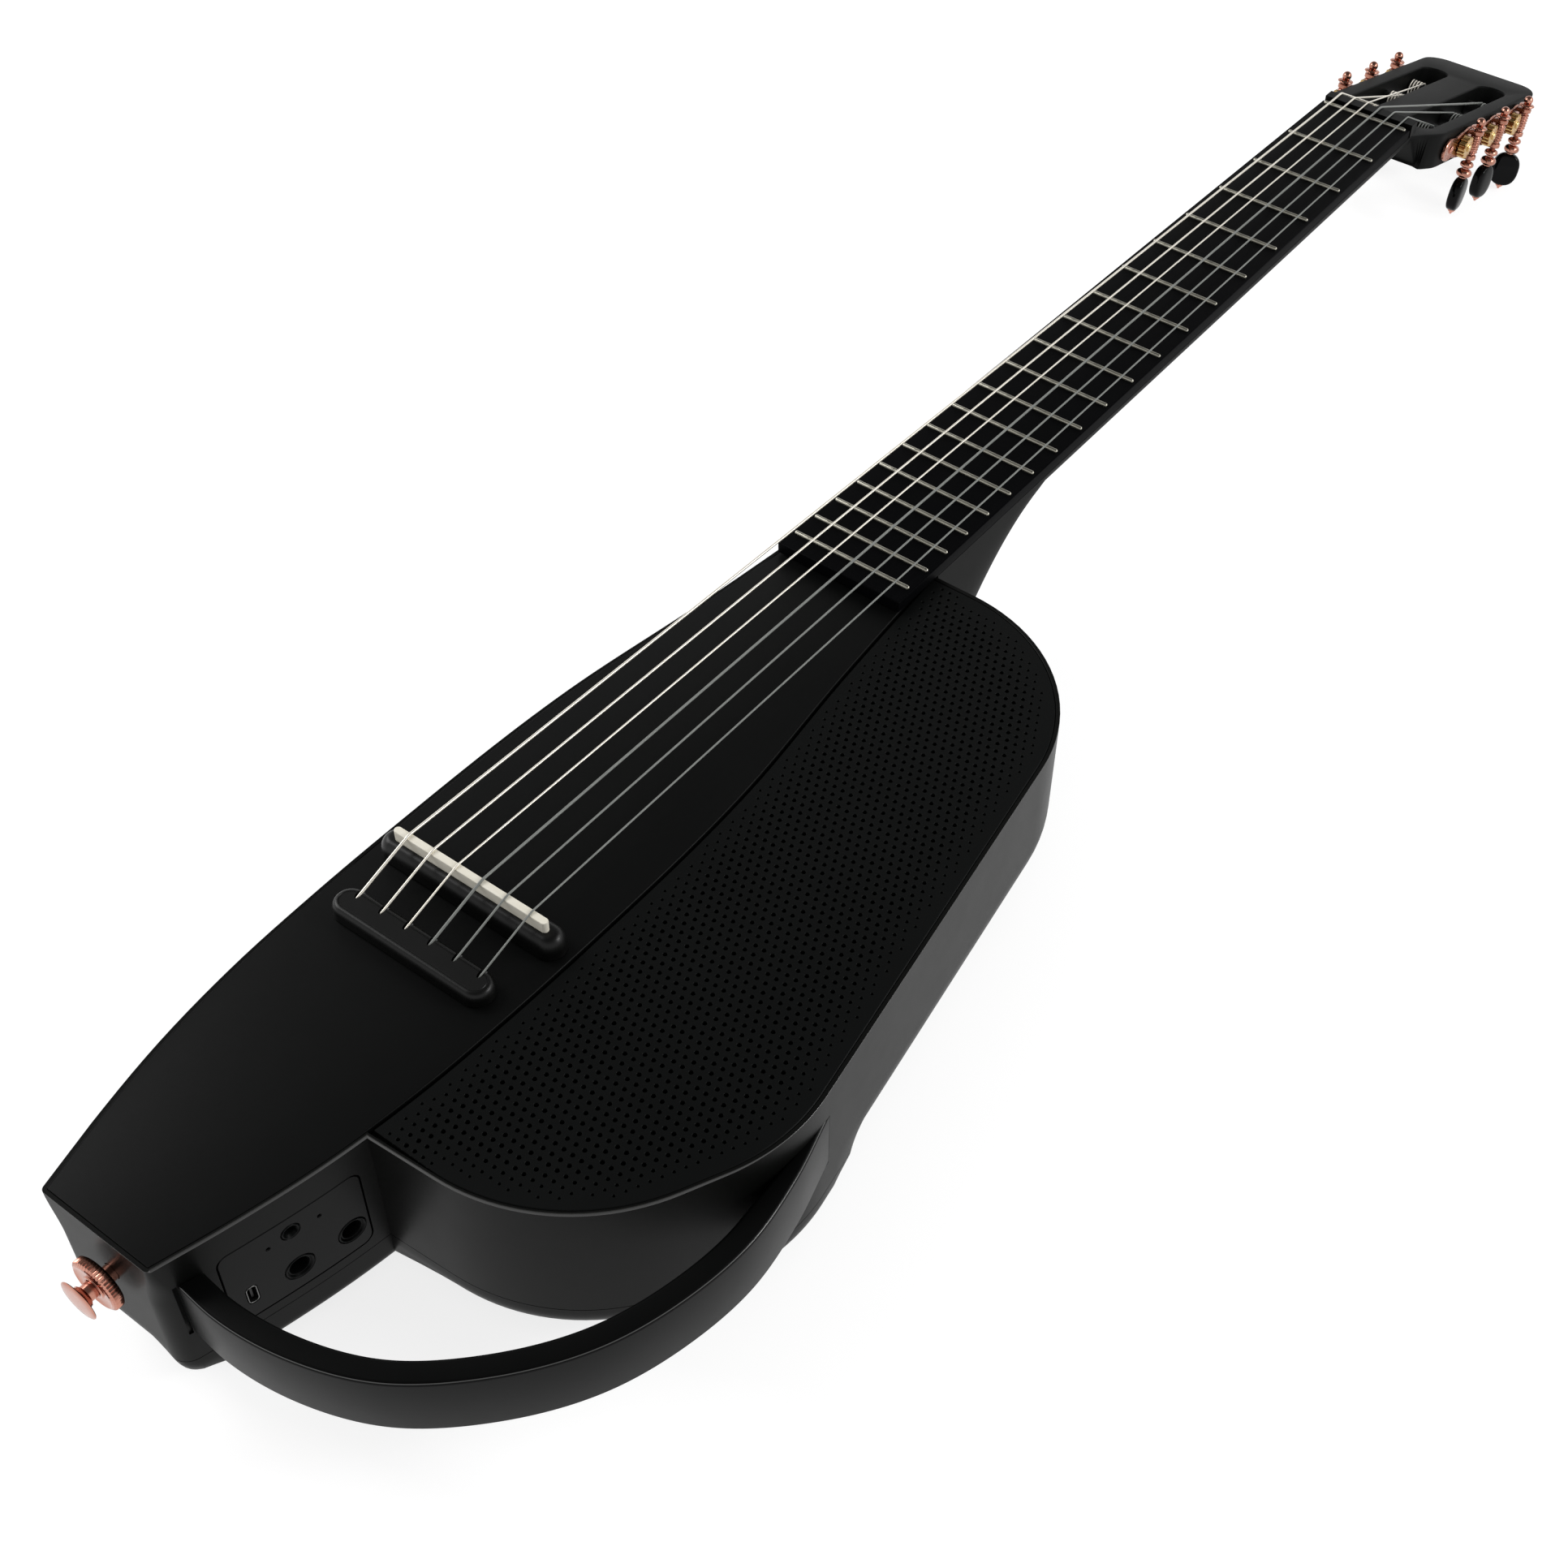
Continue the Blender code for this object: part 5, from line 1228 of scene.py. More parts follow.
lip = FLANGE_RADIUS - STEM_RADIUS
reach = STRAP_BUTTON_REACH
button_profile = [(-STEM_ROOT, 0), (-STEM_ROOT, STEM_RADIUS), (reach - 0.55 * lip, STEM_RADIUS)]
hollow = (reach - 0.50 * lip, FLANGE_RADIUS - 0.18 * lip, 0.62 * lip)
button_profile += arc_profile(*hollow, -90, -10, 10)[1:-1]
button_profile = [(h, r) for h, r in button_profile if r < FLANGE_RADIUS - 0.0002]
flange = [(0, 0.0001), (0.5, 0), (1, 0.0001), (1.6, 0.0008), (2, 0.45 * FLANGE_RADIUS)]
flange.append((2, FLANGE_RADIUS))
button_profile += [(reach + share * FLANGE_EDGE, FLANGE_RADIUS - fall) for share, fall in flange]
strap = loft("strap_button_turned", turned(button_profile, 64, tail_frame), 50)
dress(strap, ROSE, "rose_gold", "strap_button")
print("knurls:", KNURLS)

# %% [markdown]
# ## Saddle, carrier and tie block
#
# Two soft black bars lie across the spine. The front one carries the ivory saddle in a slot, and the
# rear one takes the strings' ends in six slanted holes, each with a small round well. A bar is its
# outline, a straight run with round ends, drawn in step by step as the top edge rolls over.

# %% Bridge
SADDLE_TOP = 0.0842
SADDLE_THICKNESS = 0.003
SADDLE_HALF_LENGTH = 0.035
SADDLE_EDGE = 0.00035
CARRIER_HALF_WIDTH = 0.006
CARRIER_HALF_LENGTH = 0.041
CARRIER_HEIGHT = 0.0085
CARRIER_ROLL = (0.0038, 0.0060)
SADDLE_FIT = 0.00015
PICKUP_HEIGHT = 0.0016
TIE_X = -0.0290
TIE_HALF_WIDTH = 0.0064
TIE_HALF_LENGTH = 0.0353
TIE_HEIGHT = 0.006
TIE_ROLL = (0.0022, 0.0034)
TIE_GROOVE = 0.0003
TIE_HOLE_X = -0.0252
TIE_HOLE_RADIUS = 0.0012
TIE_HOLE_DEPTH = 0.0085
TIE_WELL_OFFSET = 0.0008
TIE_WELL_RADIUS = 0.0009
TIE_WELL_DEPTH = 0.0022
EDGE_CHAMFER = 0.0012
FOOT_EDGE = 0.0003
STRING_RADII = (0.00036, 0.00041, 0.00051, 0.00038, 0.00045, 0.00055)
NUT_SPREAD = 0.0372
SADDLE_SPREAD = 0.0562
BASE = BODY_DEPTH + FIT_GAP


def bar_ring(half_x, half_y, z, centre_x=0.0, steps=20):
    """A straight run along Y with round ends, as one ring."""
    angle = np.linspace(0, math.pi, steps)
    x, y = half_x * np.cos(angle), half_y - half_x + half_x * np.sin(angle)
    ring = np.concatenate([np.stack([x, y], axis=1), np.stack([-x, -y], axis=1)])
    return level(ring + (centre_x, 0), z)


def soft_bar(name, half_x, half_y, low, high, roll, fall, centre_x=0.0, groove=0.0):
    """Foot, side, a top edge rolled over by a quarter ellipse, and round the flat top maybe a groove."""
    steps = [(FOOT_EDGE, low), (0, low + FOOT_EDGE)]
    steps += [(back, high - down) for back, down in rolled_edge(roll, fall, 12)]
    if groove:
        dip = ((0.0002, groove), (0.0004, groove), (0.0006, 0.0001))
        steps += [(roll + back, high - down) for back, down in dip]
    return loft(name, [bar_ring(half_x - back, half_y - back, z, centre_x) for back, z in steps])


def string_share(number):
    return (number - 3.5) / 5


def saddle_crest(number):
    height = SADDLE_TOP + FIT_GAP + STRING_RADII[number - 1]
    return Vector((0, string_share(number) * SADDLE_SPREAD, height))


def tie_mouth(number):
    height = BASE + TIE_HEIGHT - EDGE_CHAMFER / 2
    return Vector((TIE_HOLE_X, string_share(number) * SADDLE_SPREAD, height))


carrier_top = BASE + CARRIER_HEIGHT
carrier = soft_bar(
    "saddle_carrier_bar", CARRIER_HALF_WIDTH, CARRIER_HALF_LENGTH, BASE, carrier_top, *CARRIER_ROLL
)
half = SADDLE_THICKNESS / 2
slot_heights = (BASE + FIT_GAP, BASE + 2 * CARRIER_HEIGHT)
slot_rings = [bar_ring(half + SADDLE_FIT, SADDLE_HALF_LENGTH + SADDLE_FIT, z) for z in slot_heights]
saddle_slot = loft("saddle_slot", slot_rings)
dress(carve(carrier, "DIFFERENCE", [saddle_slot]), BRIDGE, "shell_black", "saddle_carrier")

saddle_low = BASE + 3 * FIT_GAP + PICKUP_HEIGHT
saddle_rings = [bar_ring(half, SADDLE_HALF_LENGTH, saddle_low)]
for back, fall in rolled_edge(SADDLE_EDGE, SADDLE_EDGE, 5):
    saddle_rings.append(bar_ring(half - back, SADDLE_HALF_LENGTH - back, SADDLE_TOP - fall))
dress(loft("saddle_blade", saddle_rings), IVORY, "saddle_ivory", "saddle")

tie_top = BASE + TIE_HEIGHT
tie = soft_bar(
    "tie_block_bar", TIE_HALF_WIDTH, TIE_HALF_LENGTH, BASE, tie_top, *TIE_ROLL, TIE_X, TIE_GROOVE
)
tie_holes = []
for number in range(1, 7):
    mouth_place, crest = tie_mouth(number), saddle_crest(number)
    way = (crest - mouth_place).to_track_quat("Z", "Y").to_matrix().to_4x4()
    aim = Matrix.Translation(mouth_place) @ way
    upright = Matrix.Translation((TIE_HOLE_X - TIE_WELL_OFFSET, mouth_place.y, tie_top))
    tie_holes += [
        rod(f"tie_hole_{number}", TIE_HOLE_RADIUS, -TIE_HOLE_DEPTH, 0.008, 20, aim),
        rod(f"tie_well_{number}", TIE_WELL_RADIUS, -TIE_WELL_DEPTH, 0.002, 20, upright),
    ]
dress(carve(tie, "DIFFERENCE", tie_holes), BRIDGE, "shell_black", "tie_block")
print("bridge ready")

# %% [markdown]
# ## Neck and headstock
#
# The neck is a half round under a flat top, and swells into a square heel at the body. Its section
# is a superellipse whose power grows towards the heel. The slotted headstock tilts back. It is a
# pierced plate with soft edges, and a Boolean joins the two.

# %% Neck
SCALE_LENGTH = 0.650
FRET_HALF_AT_NUT = 0.0227
FRET_HALF_AT_SADDLE = 0.0305
BOARD_MARGIN = 0.0015
NECK_TOP = 0.0717
NECK_DEPTH = 0.0145
NECK_FULLNESS = 2.0
HEEL_FULLNESS = 3.6
HEEL_DEPTH = NECK_TOP - 0.0062
HEEL_FLAT = 0.027
HEEL_LENGTH = 0.080
HEEL_POWER = 1.6
PAST_NUT = (0.004, 0.012, 0.019)
HEAD_X = SCALE_LENGTH + 0.0054
HEAD_TILT = math.radians(14)
HEAD_THICKNESS = 0.018
HEAD_TOE = 0.016
HEAD_LENGTH = 0.1625
HEAD_HALF_WIDTH = 0.033
HEAD_CORNER = 0.012
HEAD_FLARE = ((0.0, 0.0242), (0.009, 0.0272), (0.019, 0.0312), (0.0235, 0.0326), (0.028, 0.033))
HEAD_EDGE = 0.0014
SLOT_INNER = 0.0092
SLOT_OUTER = 0.0246
SLOT_START = 0.021
SLOT_END = 0.136
SLOT_EDGE = 0.0009
HEAD_FRAME = Matrix.Translation((HEAD_X, 0, NECK_TOP)) @ Matrix.Rotation(HEAD_TILT, 4, "Y")


def fret_x(number):
    """The twelfth root of two shortens the string by a semitone at each fret."""
    return SCALE_LENGTH / 2 ** (number / 12)


def fret_half(x):
    return FRET_HALF_AT_SADDLE + (FRET_HALF_AT_NUT - FRET_HALF_AT_SADDLE) * x / SCALE_LENGTH


def neck_ring(x, count=45, sink=0.0):
    """|across|^n + |down|^n = 1 with n from 2 on the neck to 3.6 at the heel, and a flat top.

    Past the nut the top sinks with the headstock's face, and the underside stays where it is.
    """
    heel = np.clip((JOINT_X + HEEL_LENGTH - x) / (HEEL_LENGTH - HEEL_FLAT), 0, 1)
    depth = NECK_DEPTH + (HEEL_DEPTH - NECK_DEPTH) * heel**HEEL_POWER - sink
    power = 2 / (NECK_FULLNESS + (HEEL_FULLNESS - NECK_FULLNESS) * math.sqrt(heel))
    angle = np.linspace(0, math.pi, count)
    across = np.sign(np.cos(angle)) * np.abs(np.cos(angle)) ** power
    y, z = (fret_half(x) + BOARD_MARGIN) * across, NECK_TOP - sink - depth * np.sin(angle) ** power
    return np.column_stack([np.full(count, x), y, z])


heel_end = JOINT_X + HEEL_LENGTH
neck_x = [JOINT_X + FIT_GAP, *np.linspace(JOINT_X + HEEL_FLAT, heel_end + 0.01, 30)]
neck_x += [*np.linspace(heel_end + 0.05, HEAD_X - 0.01, 8), HEAD_X]
sections = [neck_ring(x) for x in neck_x]
for past in PAST_NUT:
    sections.append(neck_ring(HEAD_X + past, sink=past * math.tan(HEAD_TILT) + HEAD_EDGE / 2))
neck = loft("neck_and_head", sections, 45)
print("neck sections:", len(sections))

# %% Headstock
def head_outline():
    """Half-widths from the nut outwards, mirrored, with round far corners."""
    s = np.linspace(0, HEAD_FLARE[-1][0], 14)
    flare = np.column_stack([s, smooth_through(HEAD_FLARE, s)])
    angle = np.linspace(0, math.pi / 2, 12)
    corner = np.column_stack([np.sin(angle), np.cos(angle)]) - 1
    half = np.concatenate([flare, (HEAD_LENGTH, HEAD_HALF_WIDTH) + HEAD_CORNER * corner])
    return np.concatenate([half * (1, -1), half[::-1]])


def head_slot(side):
    """A long slot with round ends on the bass (1) or treble (-1) side."""
    radius = (SLOT_OUTER - SLOT_INNER) / 2
    ring = bar_ring(radius, (SLOT_END - SLOT_START) / 2, 0)[:, :2]
    middle = ((SLOT_START + SLOT_END) / 2, side * (SLOT_OUTER + SLOT_INNER) / 2)
    return np.column_stack([middle[0] - ring[:, 1], middle[1] + ring[:, 0]])


def rolled_plate(outline, holes, thickness, edge, hole_edge, steps=5):
    """A plate under the plane z = 0 whose outer and inner edges roll over by quarter circles."""
    loops = [(outline, edge)] + [(hole[::-1], hole_edge) for hole in holes]
    flat, triangles = filled([drawn_in(loop, size) for loop, size in loops])
    count = len(flat)
    points = [level(flat, z) for z in (0, -thickness)]
    faces = triangles.tolist() + (triangles[:, ::-1] + count).tolist()
    first = 2 * count
    for loop, size in loops:
        rings = [(back, -fall) for back, fall in rolled_edge(size, size, steps)[::-1]]
        rings += [(drawn, -thickness - z) for drawn, z in rings[::-1]]
        points += [level(drawn_in(loop, drawn), z) for drawn, z in rings]
        faces += ring_faces(2 * steps, len(loop), first)
        first += 2 * steps * len(loop)
    return np.concatenate(points), faces


slots = [head_slot(1), head_slot(-1)]
points, faces = rolled_plate(head_outline(), slots, HEAD_THICKNESS, HEAD_EDGE, SLOT_EDGE)
under = points[:, 2] < -HEAD_THICKNESS / 2
toe = HEAD_TOE - 0.5 * np.maximum(np.abs(points[under, 1]) - HEAD_FLARE[0][1], 0)
points[under, 0] = np.maximum(points[under, 0], toe)
head = add_piece("head", placed(points, HEAD_FRAME), faces, 45)
print("headstock:", len(head.data.polygons), "faces")

# %% [markdown]
# ## Where the tuners sit
#
# Each string has a roller across a slot and a key outside the headstock. Two frames place them: a
# roller's axle points outwards, and a key's axle stands square to the headstock's face. A roller's
# pivot and its barrel run in two bores, one in the web between the slots and one in the cheek.

# %% Tuner frames and bores
ROLLER_FIRST = 0.049
ROLLER_SPACING = 0.035
ROLLER_K = -0.0095
ROLLER_RADIUS = 0.0040
PIVOT_RADIUS = 0.0020
PIVOT_DEPTH = 0.0030
PLATE_METAL = 0.0017
PLATE_START = 0.027
PLATE_END = 0.141
PLATE_BOTTOM = -0.0172
PLATE_TOP = -0.0016
GEAR_RADIUS = 0.0057
GEAR_ROOT = 0.0047
GEAR_TEETH = 14
GEAR_WIDTH = 0.004
WORM_RADIUS = 0.0030
WORM_Y = 0.0386
SHAFT_RADIUS = 0.0018
SPINDLE_GAP = 0.0004
LUG_HALF = 0.0032
LUG_THICKNESS = 0.0025
LUG_TOP = -0.0018
LUG_BOTTOM = -0.0170
WORM_OFFSET = GEAR_RADIUS + WORM_RADIUS + FIT_GAP
PIVOT_BORE = PIVOT_RADIUS + SPINDLE_GAP
ROLLER_BORE = ROLLER_RADIUS + SPINDLE_GAP
BORE_OVERLAP = 0.004
PLATE_INNER = HEAD_HALF_WIDTH + FIT_GAP
PLATE_OUTER = PLATE_INNER + PLATE_METAL
GEAR_INNER = PLATE_OUTER + SPINDLE_GAP
BUTTON_TURNS = (-4, 8, 66)


def tuner_of(string):
    """Side and place from the nut: strings 6, 5, 4 on the bass side and 1, 2, 3 on the treble side."""
    return (1, 6 - string) if string > 3 else (-1, string - 1)


def roller_frame(side, number):
    s = ROLLER_FIRST + ROLLER_SPACING * number
    sideways = Matrix.Rotation(-side * math.pi / 2, 4, "X")
    return HEAD_FRAME @ Matrix.Translation((s, 0, ROLLER_K)) @ sideways


def worm_frame(side, number):
    s = ROLLER_FIRST + ROLLER_SPACING * number + WORM_OFFSET
    spin = Matrix.Rotation(side * math.radians(BUTTON_TURNS[number]), 4, "Z")
    return HEAD_FRAME @ Matrix.Translation((s, side * WORM_Y, 0)) @ spin


bores = []
for string in range(1, 7):
    across = roller_frame(*tuner_of(string))
    deepest, middle = SLOT_INNER - PIVOT_DEPTH - FIT_GAP, SLOT_OUTER - BORE_OVERLAP
    bores.append(rod(f"web_{string}", PIVOT_BORE, deepest, middle, 20, across))
    bores.append(rod(f"cheek_{string}", ROLLER_BORE, middle, HEAD_HALF_WIDTH + BORE_OVERLAP, 28, across))
carve(neck, "UNION", [head], 45)
carve(neck, "DIFFERENCE", bores, 45)
dress(neck, NECK, "shell_black", "neck")
print("neck and head:", len(neck.data.polygons), "faces")

# %% [markdown]
# ## Fretboard, frets and nut guide
#
# The fretboard is a flat tapered plate with broken edges. Each fret is a crowned wire: half an
# ellipse in section, and its ends roll down in the same way, so that no fret has a sharp corner. The
# fret at the nut carries the strings, and a low guide behind it keeps them apart.

# %% Fretboard and frets
FRET_COUNT = 19
FRET_WIDTH = 0.0019
FRET_HEIGHT = 0.0009
FRET_SEAT = 0.00005
FRETBOARD_THICKNESS = 0.0048
FRETBOARD_TAIL = 0.009
FRETBOARD_HEAD = 0.002
FRETBOARD_BASE = NECK_TOP + FIT_GAP
FRETBOARD_TOP = FRETBOARD_BASE + FRETBOARD_THICKNESS
FRET_TOP = FRETBOARD_TOP + FIT_GAP + FRET_HEIGHT
BOARD_EDGE = 0.0005

board_x = np.array([fret_x(FRET_COUNT) - FRETBOARD_TAIL, SCALE_LENGTH + FRETBOARD_HEAD])
near, far = fret_half(board_x) + BOARD_MARGIN
board_plan = np.array([(board_x[0], -near), (board_x[1], -far), (board_x[1], far), (board_x[0], near)])
board_rings = [level(board_plan, FRETBOARD_BASE)]
for back, fall in rolled_edge(BOARD_EDGE, BOARD_EDGE, 5):
    board_rings.append(level(drawn_in(board_plan, back), FRETBOARD_TOP - fall))
dress(loft("fretboard_plate", board_rings, 50), FRETBOARD, "fretboard_black", "fretboard")


def fret_rings(x):
    """Half ellipses along Y; near an end both half axes shrink by sqrt(1 - t²)."""
    reach, cap = fret_half(x), FRET_WIDTH / 2
    y = np.concatenate([-reach + cap * (1 - np.cos(np.linspace(0, math.pi / 2, 7))), [0]])
    y = np.concatenate([y, -y[:-1][::-1]])
    t = np.clip((np.abs(y) - (reach - cap)) / cap, 0, 1)
    swell = np.sqrt(np.maximum(1 - t**2, 1e-4))[:, None]
    angle = np.linspace(0, math.pi, 12)
    base = FRETBOARD_TOP + FRET_SEAT
    wide = x + swell * FRET_WIDTH / 2 * np.cos(angle)
    high = base + (FRET_TOP - base) * (0.25 + 0.75 * swell) * np.sin(angle) ** 0.8
    return np.stack([wide, y[:, None] + 0 * wide, high], axis=-1)


for number in range(FRET_COUNT + 1):
    piece = loft(f"fret_wire_{number:02d}", fret_rings(fret_x(number)), 60)
    dress(piece, FRET_METAL, "fret_metal", f"fret_{number:02d}")
print("frets:", FRET_COUNT + 1)

# %% Nut guide
GUIDE_START = 0.004
GUIDE_LENGTH = 0.006
GUIDE_TOP = FRET_TOP + 0.00035
GUIDE_FLOOR = FRET_TOP + 0.0001
GUIDE_SLOT = 0.0011
GUIDE_EDGE = 0.0001

guide_half = fret_half(SCALE_LENGTH) + BOARD_MARGIN
comb = [(guide_half, FRETBOARD_BASE), (guide_half, GUIDE_TOP)]
for number in range(6, 0, -1):
    y = string_share(number) * NUT_SPREAD
    left, right = y + GUIDE_SLOT / 2, y - GUIDE_SLOT / 2
    comb += [(left, GUIDE_TOP), (left, GUIDE_FLOOR), (right, GUIDE_FLOOR), (right, GUIDE_TOP)]
comb += [(-guide_half, GUIDE_TOP), (-guide_half, FRETBOARD_BASE)]
guide_ends = SCALE_LENGTH + GUIDE_START + np.array([0, GUIDE_LENGTH])
guide = loft("nut_guide_comb", [[(x, *corner) for corner in comb] for x in guide_ends])
bevel = guide.modifiers.new("soft edges", "BEVEL")
bevel.width = GUIDE_EDGE
bevel.segments = 3
bevel.limit_method = "ANGLE"
dress(guide, TRIM, "trim_black", "nut_guide")
print("guide slots:", 6)

# %% [markdown]
# ## Tuner plates
#
# A scalloped side plate carries three tuners, with an ear above and below each worm. The plate is a
# pierced plate whose edge is a wave: wide at each tuner and drawn in between. Small round screws
# hold it to the headstock.

# %% Side plates with ears and screws
PLATE_MIDDLE = (PLATE_TOP + PLATE_BOTTOM) / 2
PLATE_HALF = (PLATE_TOP - PLATE_BOTTOM) / 2
PLATE_SQUARENESS = 14
PLATE_EDGE_CUT = 0.0003
EAR_FOOT = 1.15 * LUG_HALF
EAR_REACH = WORM_Y - PLATE_INNER
SCREW_RADIUS = 0.0021
SCREW_HEIGHT = 0.0011
SCREW_BEFORE = 0.0225
SCREW_ASIDE = 0.0085
EYE_GAP = 0.0002
SCREW_SLOT = ((-0.003, -0.0002, 0.0006), (0.003, 0.0002, 0.003))
roller_s = ROLLER_FIRST + ROLLER_SPACING * np.arange(3)
worm_s = roller_s + WORM_OFFSET


def plate_outline():
    """Half-height along the plate: a wave with its crests at the worms and round ends."""
    s = PLATE_START + (PLATE_END - PLATE_START) * (1 - np.cos(np.linspace(0, math.pi, 140))) / 2
    middle, reach = (PLATE_START + PLATE_END) / 2, (PLATE_END - PLATE_START) / 2
    crest = np.cos(math.pi * (s - worm_s[0]) / ROLLER_SPACING) ** 2
    ripple = np.abs(np.cos(3 * math.pi * (s - worm_s[0]) / ROLLER_SPACING))
    end = np.sqrt(np.clip(1 - (np.abs(s - middle) / reach) ** PLATE_SQUARENESS, 0, 1))
    half = PLATE_HALF * (0.66 + 0.28 * crest + 0.06 * ripple) * end
    low = np.column_stack([s, PLATE_MIDDLE - half])
    return np.concatenate([low, np.column_stack([s, PLATE_MIDDLE + half])[::-1][1:-1]])


def side_points(points, side):
    """(s, k, out) on the headstock's side: out runs away from the wood."""
    s, k, out = np.asarray(points, float).T
    local = np.column_stack([s, side * (PLATE_INNER + out), k])
    return placed(local, HEAD_FRAME)


def ear_outline():
    """From the plate out to the worm's axle, with a round end about it."""
    angle = np.linspace(-math.pi / 2, math.pi / 2, 18)
    tip = np.column_stack([LUG_HALF * np.sin(angle), EAR_REACH + LUG_HALF * np.cos(angle)])
    return np.concatenate([[(-EAR_FOOT, PLATE_METAL / 2)], tip, [(EAR_FOOT, PLATE_METAL / 2)]])[::-1]


def tuner_plate(side, name, node):
    """The plate and its six ears as closed shells of one mesh."""
    holes = [circle(s, ROLLER_K, PIVOT_BORE, 24) for s in roller_s]
    points, faces = pierced(plate_outline(), holes, 0, PLATE_METAL, PLATE_EDGE_CUT)
    shells = [side_points(points, side)]
    total = len(points)
    eye = circle(0, EAR_REACH, SHAFT_RADIUS + EYE_GAP, 20)
    ear_points, ear_faces = pierced(ear_outline(), [eye], 0, LUG_THICKNESS - FIT_GAP, PLATE_EDGE_CUT)
    for s in worm_s:
        for low in (LUG_TOP - LUG_THICKNESS, LUG_BOTTOM):
            ear = np.column_stack([s + ear_points[:, 0], low + ear_points[:, 2], ear_points[:, 1]])
            shells.append(side_points(ear, side))
            faces = faces + [[total + i for i in face] for face in ear_faces]
            total += len(ear)
    return dress(add_piece(name, np.concatenate(shells), faces), CHASED_DARKENED, "rose_gold", node)


def plate_screws(side, name):
    """Four slotted domes between the tuners and at the ends: flat foot, short side, low dome."""
    angle = np.linspace(0, math.pi / 2, 6)
    dome = zip(SCREW_HEIGHT * (0.3 + 0.7 * np.sin(angle)), SCREW_RADIUS * np.cos(angle))
    profile = [(0, 0), (0, SCREW_RADIUS), *dome]
    spots = [worm_s[0] - SCREW_BEFORE, *(roller_s[1:] - SCREW_ASIDE), worm_s[2] + SCREW_ASIDE]
    screws = []
    for i, s in enumerate(spots):
        rows = (1, 0, 0, s), (0, 0, side, side * PLATE_OUTER), (0, 1, 0, PLATE_MIDDLE), (0, 0, 0, 1)
        local = Matrix(rows)
        screw = loft(f"{name}_{i}", turned(profile, 24, HEAD_FRAME @ local))
        spin = Matrix.Rotation(0.6 + 1.1 * i, 4, "Z")
        cut = moved(block("cut", *SCREW_SLOT), HEAD_FRAME @ local @ spin)
        screws.append(dress(carve(screw, "DIFFERENCE", [cut]), ROSE, "rose_gold"))
    return screws


tuner_plate(1, "tuner_plate_bass_scalloped", "tuner_plate_bass")
tuner_plate(-1, "tuner_plate_treble_scalloped", "tuner_plate_treble")
screws = plate_screws(1, "bass_screw") + plate_screws(-1, "treble_screw")
print("plate screws:", len(screws))

# %% [markdown]
# ## Rollers, gears and keys
#
# A roller is a dark barrel across the slot, and its axle carries a brass-coloured gear outside the
# plate. A key is a turned shaft with a finial, a worm, beads and an oval button of gloss black. The
# worm's thread is a ridge that winds once round per gear tooth, so it is a ripple of the radius in
# the angle minus the height.

# %% Rollers and gears
GEAR_STEPS = 8
ROLLER_EDGE = 0.0003
GEAR_EDGE = 0.0003
GEAR_BOSS = 0.0002
AXLE_EDGE = 0.0004


def gear_rings(start, end):
    """Radius between root and tip by a clipped sine of the angle times the teeth, hollowed mid-width."""
    angle = angles(GEAR_TEETH * GEAR_STEPS)
    wave = np.clip(1.5 * np.cos(GEAR_TEETH * angle), -1, 1)
    radius = (GEAR_RADIUS + GEAR_ROOT) / 2 + (GEAR_RADIUS - GEAR_ROOT) / 2 * wave
    edge, boss = start + GEAR_EDGE, end + GEAR_BOSS
    heights = np.array([start, start, edge, (start + end) / 2, end - GEAR_EDGE, end, end, boss, boss])
    scale = np.array([0.55, 0.93, 1.0, 0.96, 1.0, 0.93, 0.62, 0.58, 0.40])
    plain = np.array([1, 0, 0, 0, 0, 0, 1, 1, 1])[:, None]
    radii = scale[:, None] * (plain * GEAR_ROOT + (1 - plain) * radius)
    return round_rings(radii, angle, heights[:, None])


def roller(string):
    side, number = tuner_of(string)
    across = roller_frame(side, number)
    root, near, far = SLOT_INNER - PIVOT_DEPTH, SLOT_INNER + FIT_GAP, HEAD_HALF_WIDTH - FIT_GAP
    broken = ROLLER_RADIUS - ROLLER_EDGE
    barrel = [
        (root, 0), (root, PIVOT_RADIUS), (near, PIVOT_RADIUS), (near, broken),
        (near + ROLLER_EDGE, ROLLER_RADIUS), (far - ROLLER_EDGE, ROLLER_RADIUS), (far, broken), (far, 0),
    ]
    body = f"roller_{string}"
    node = f"tuner_roller_{string}"
    piece = loft(f"roller_barrel_{string}", turned(barrel, 32, across))
    dress(piece, ROLLER, "roller_white", node, body=body)
    gear_end = GEAR_INNER + GEAR_WIDTH
    tip = gear_end + PLATE_METAL / 2
    axle = [(far, 0), (far, PIVOT_RADIUS), (gear_end + AXLE_EDGE, PIVOT_RADIUS)]
    axle += [(tip, PIVOT_RADIUS - AXLE_EDGE), (tip, 0)]
    gear = loft(f"roller_gear_{string}", placed(gear_rings(GEAR_INNER, gear_end), across), 30)
    axle = loft(f"roller_axle_{string}", turned(axle, 24, across))
    dress(carve(gear, "UNION", [axle], 30), GEAR_GOLD, "rose_gold", node, body=body)


for string in range(1, 7):
    roller(string)
print("rollers:", 6)

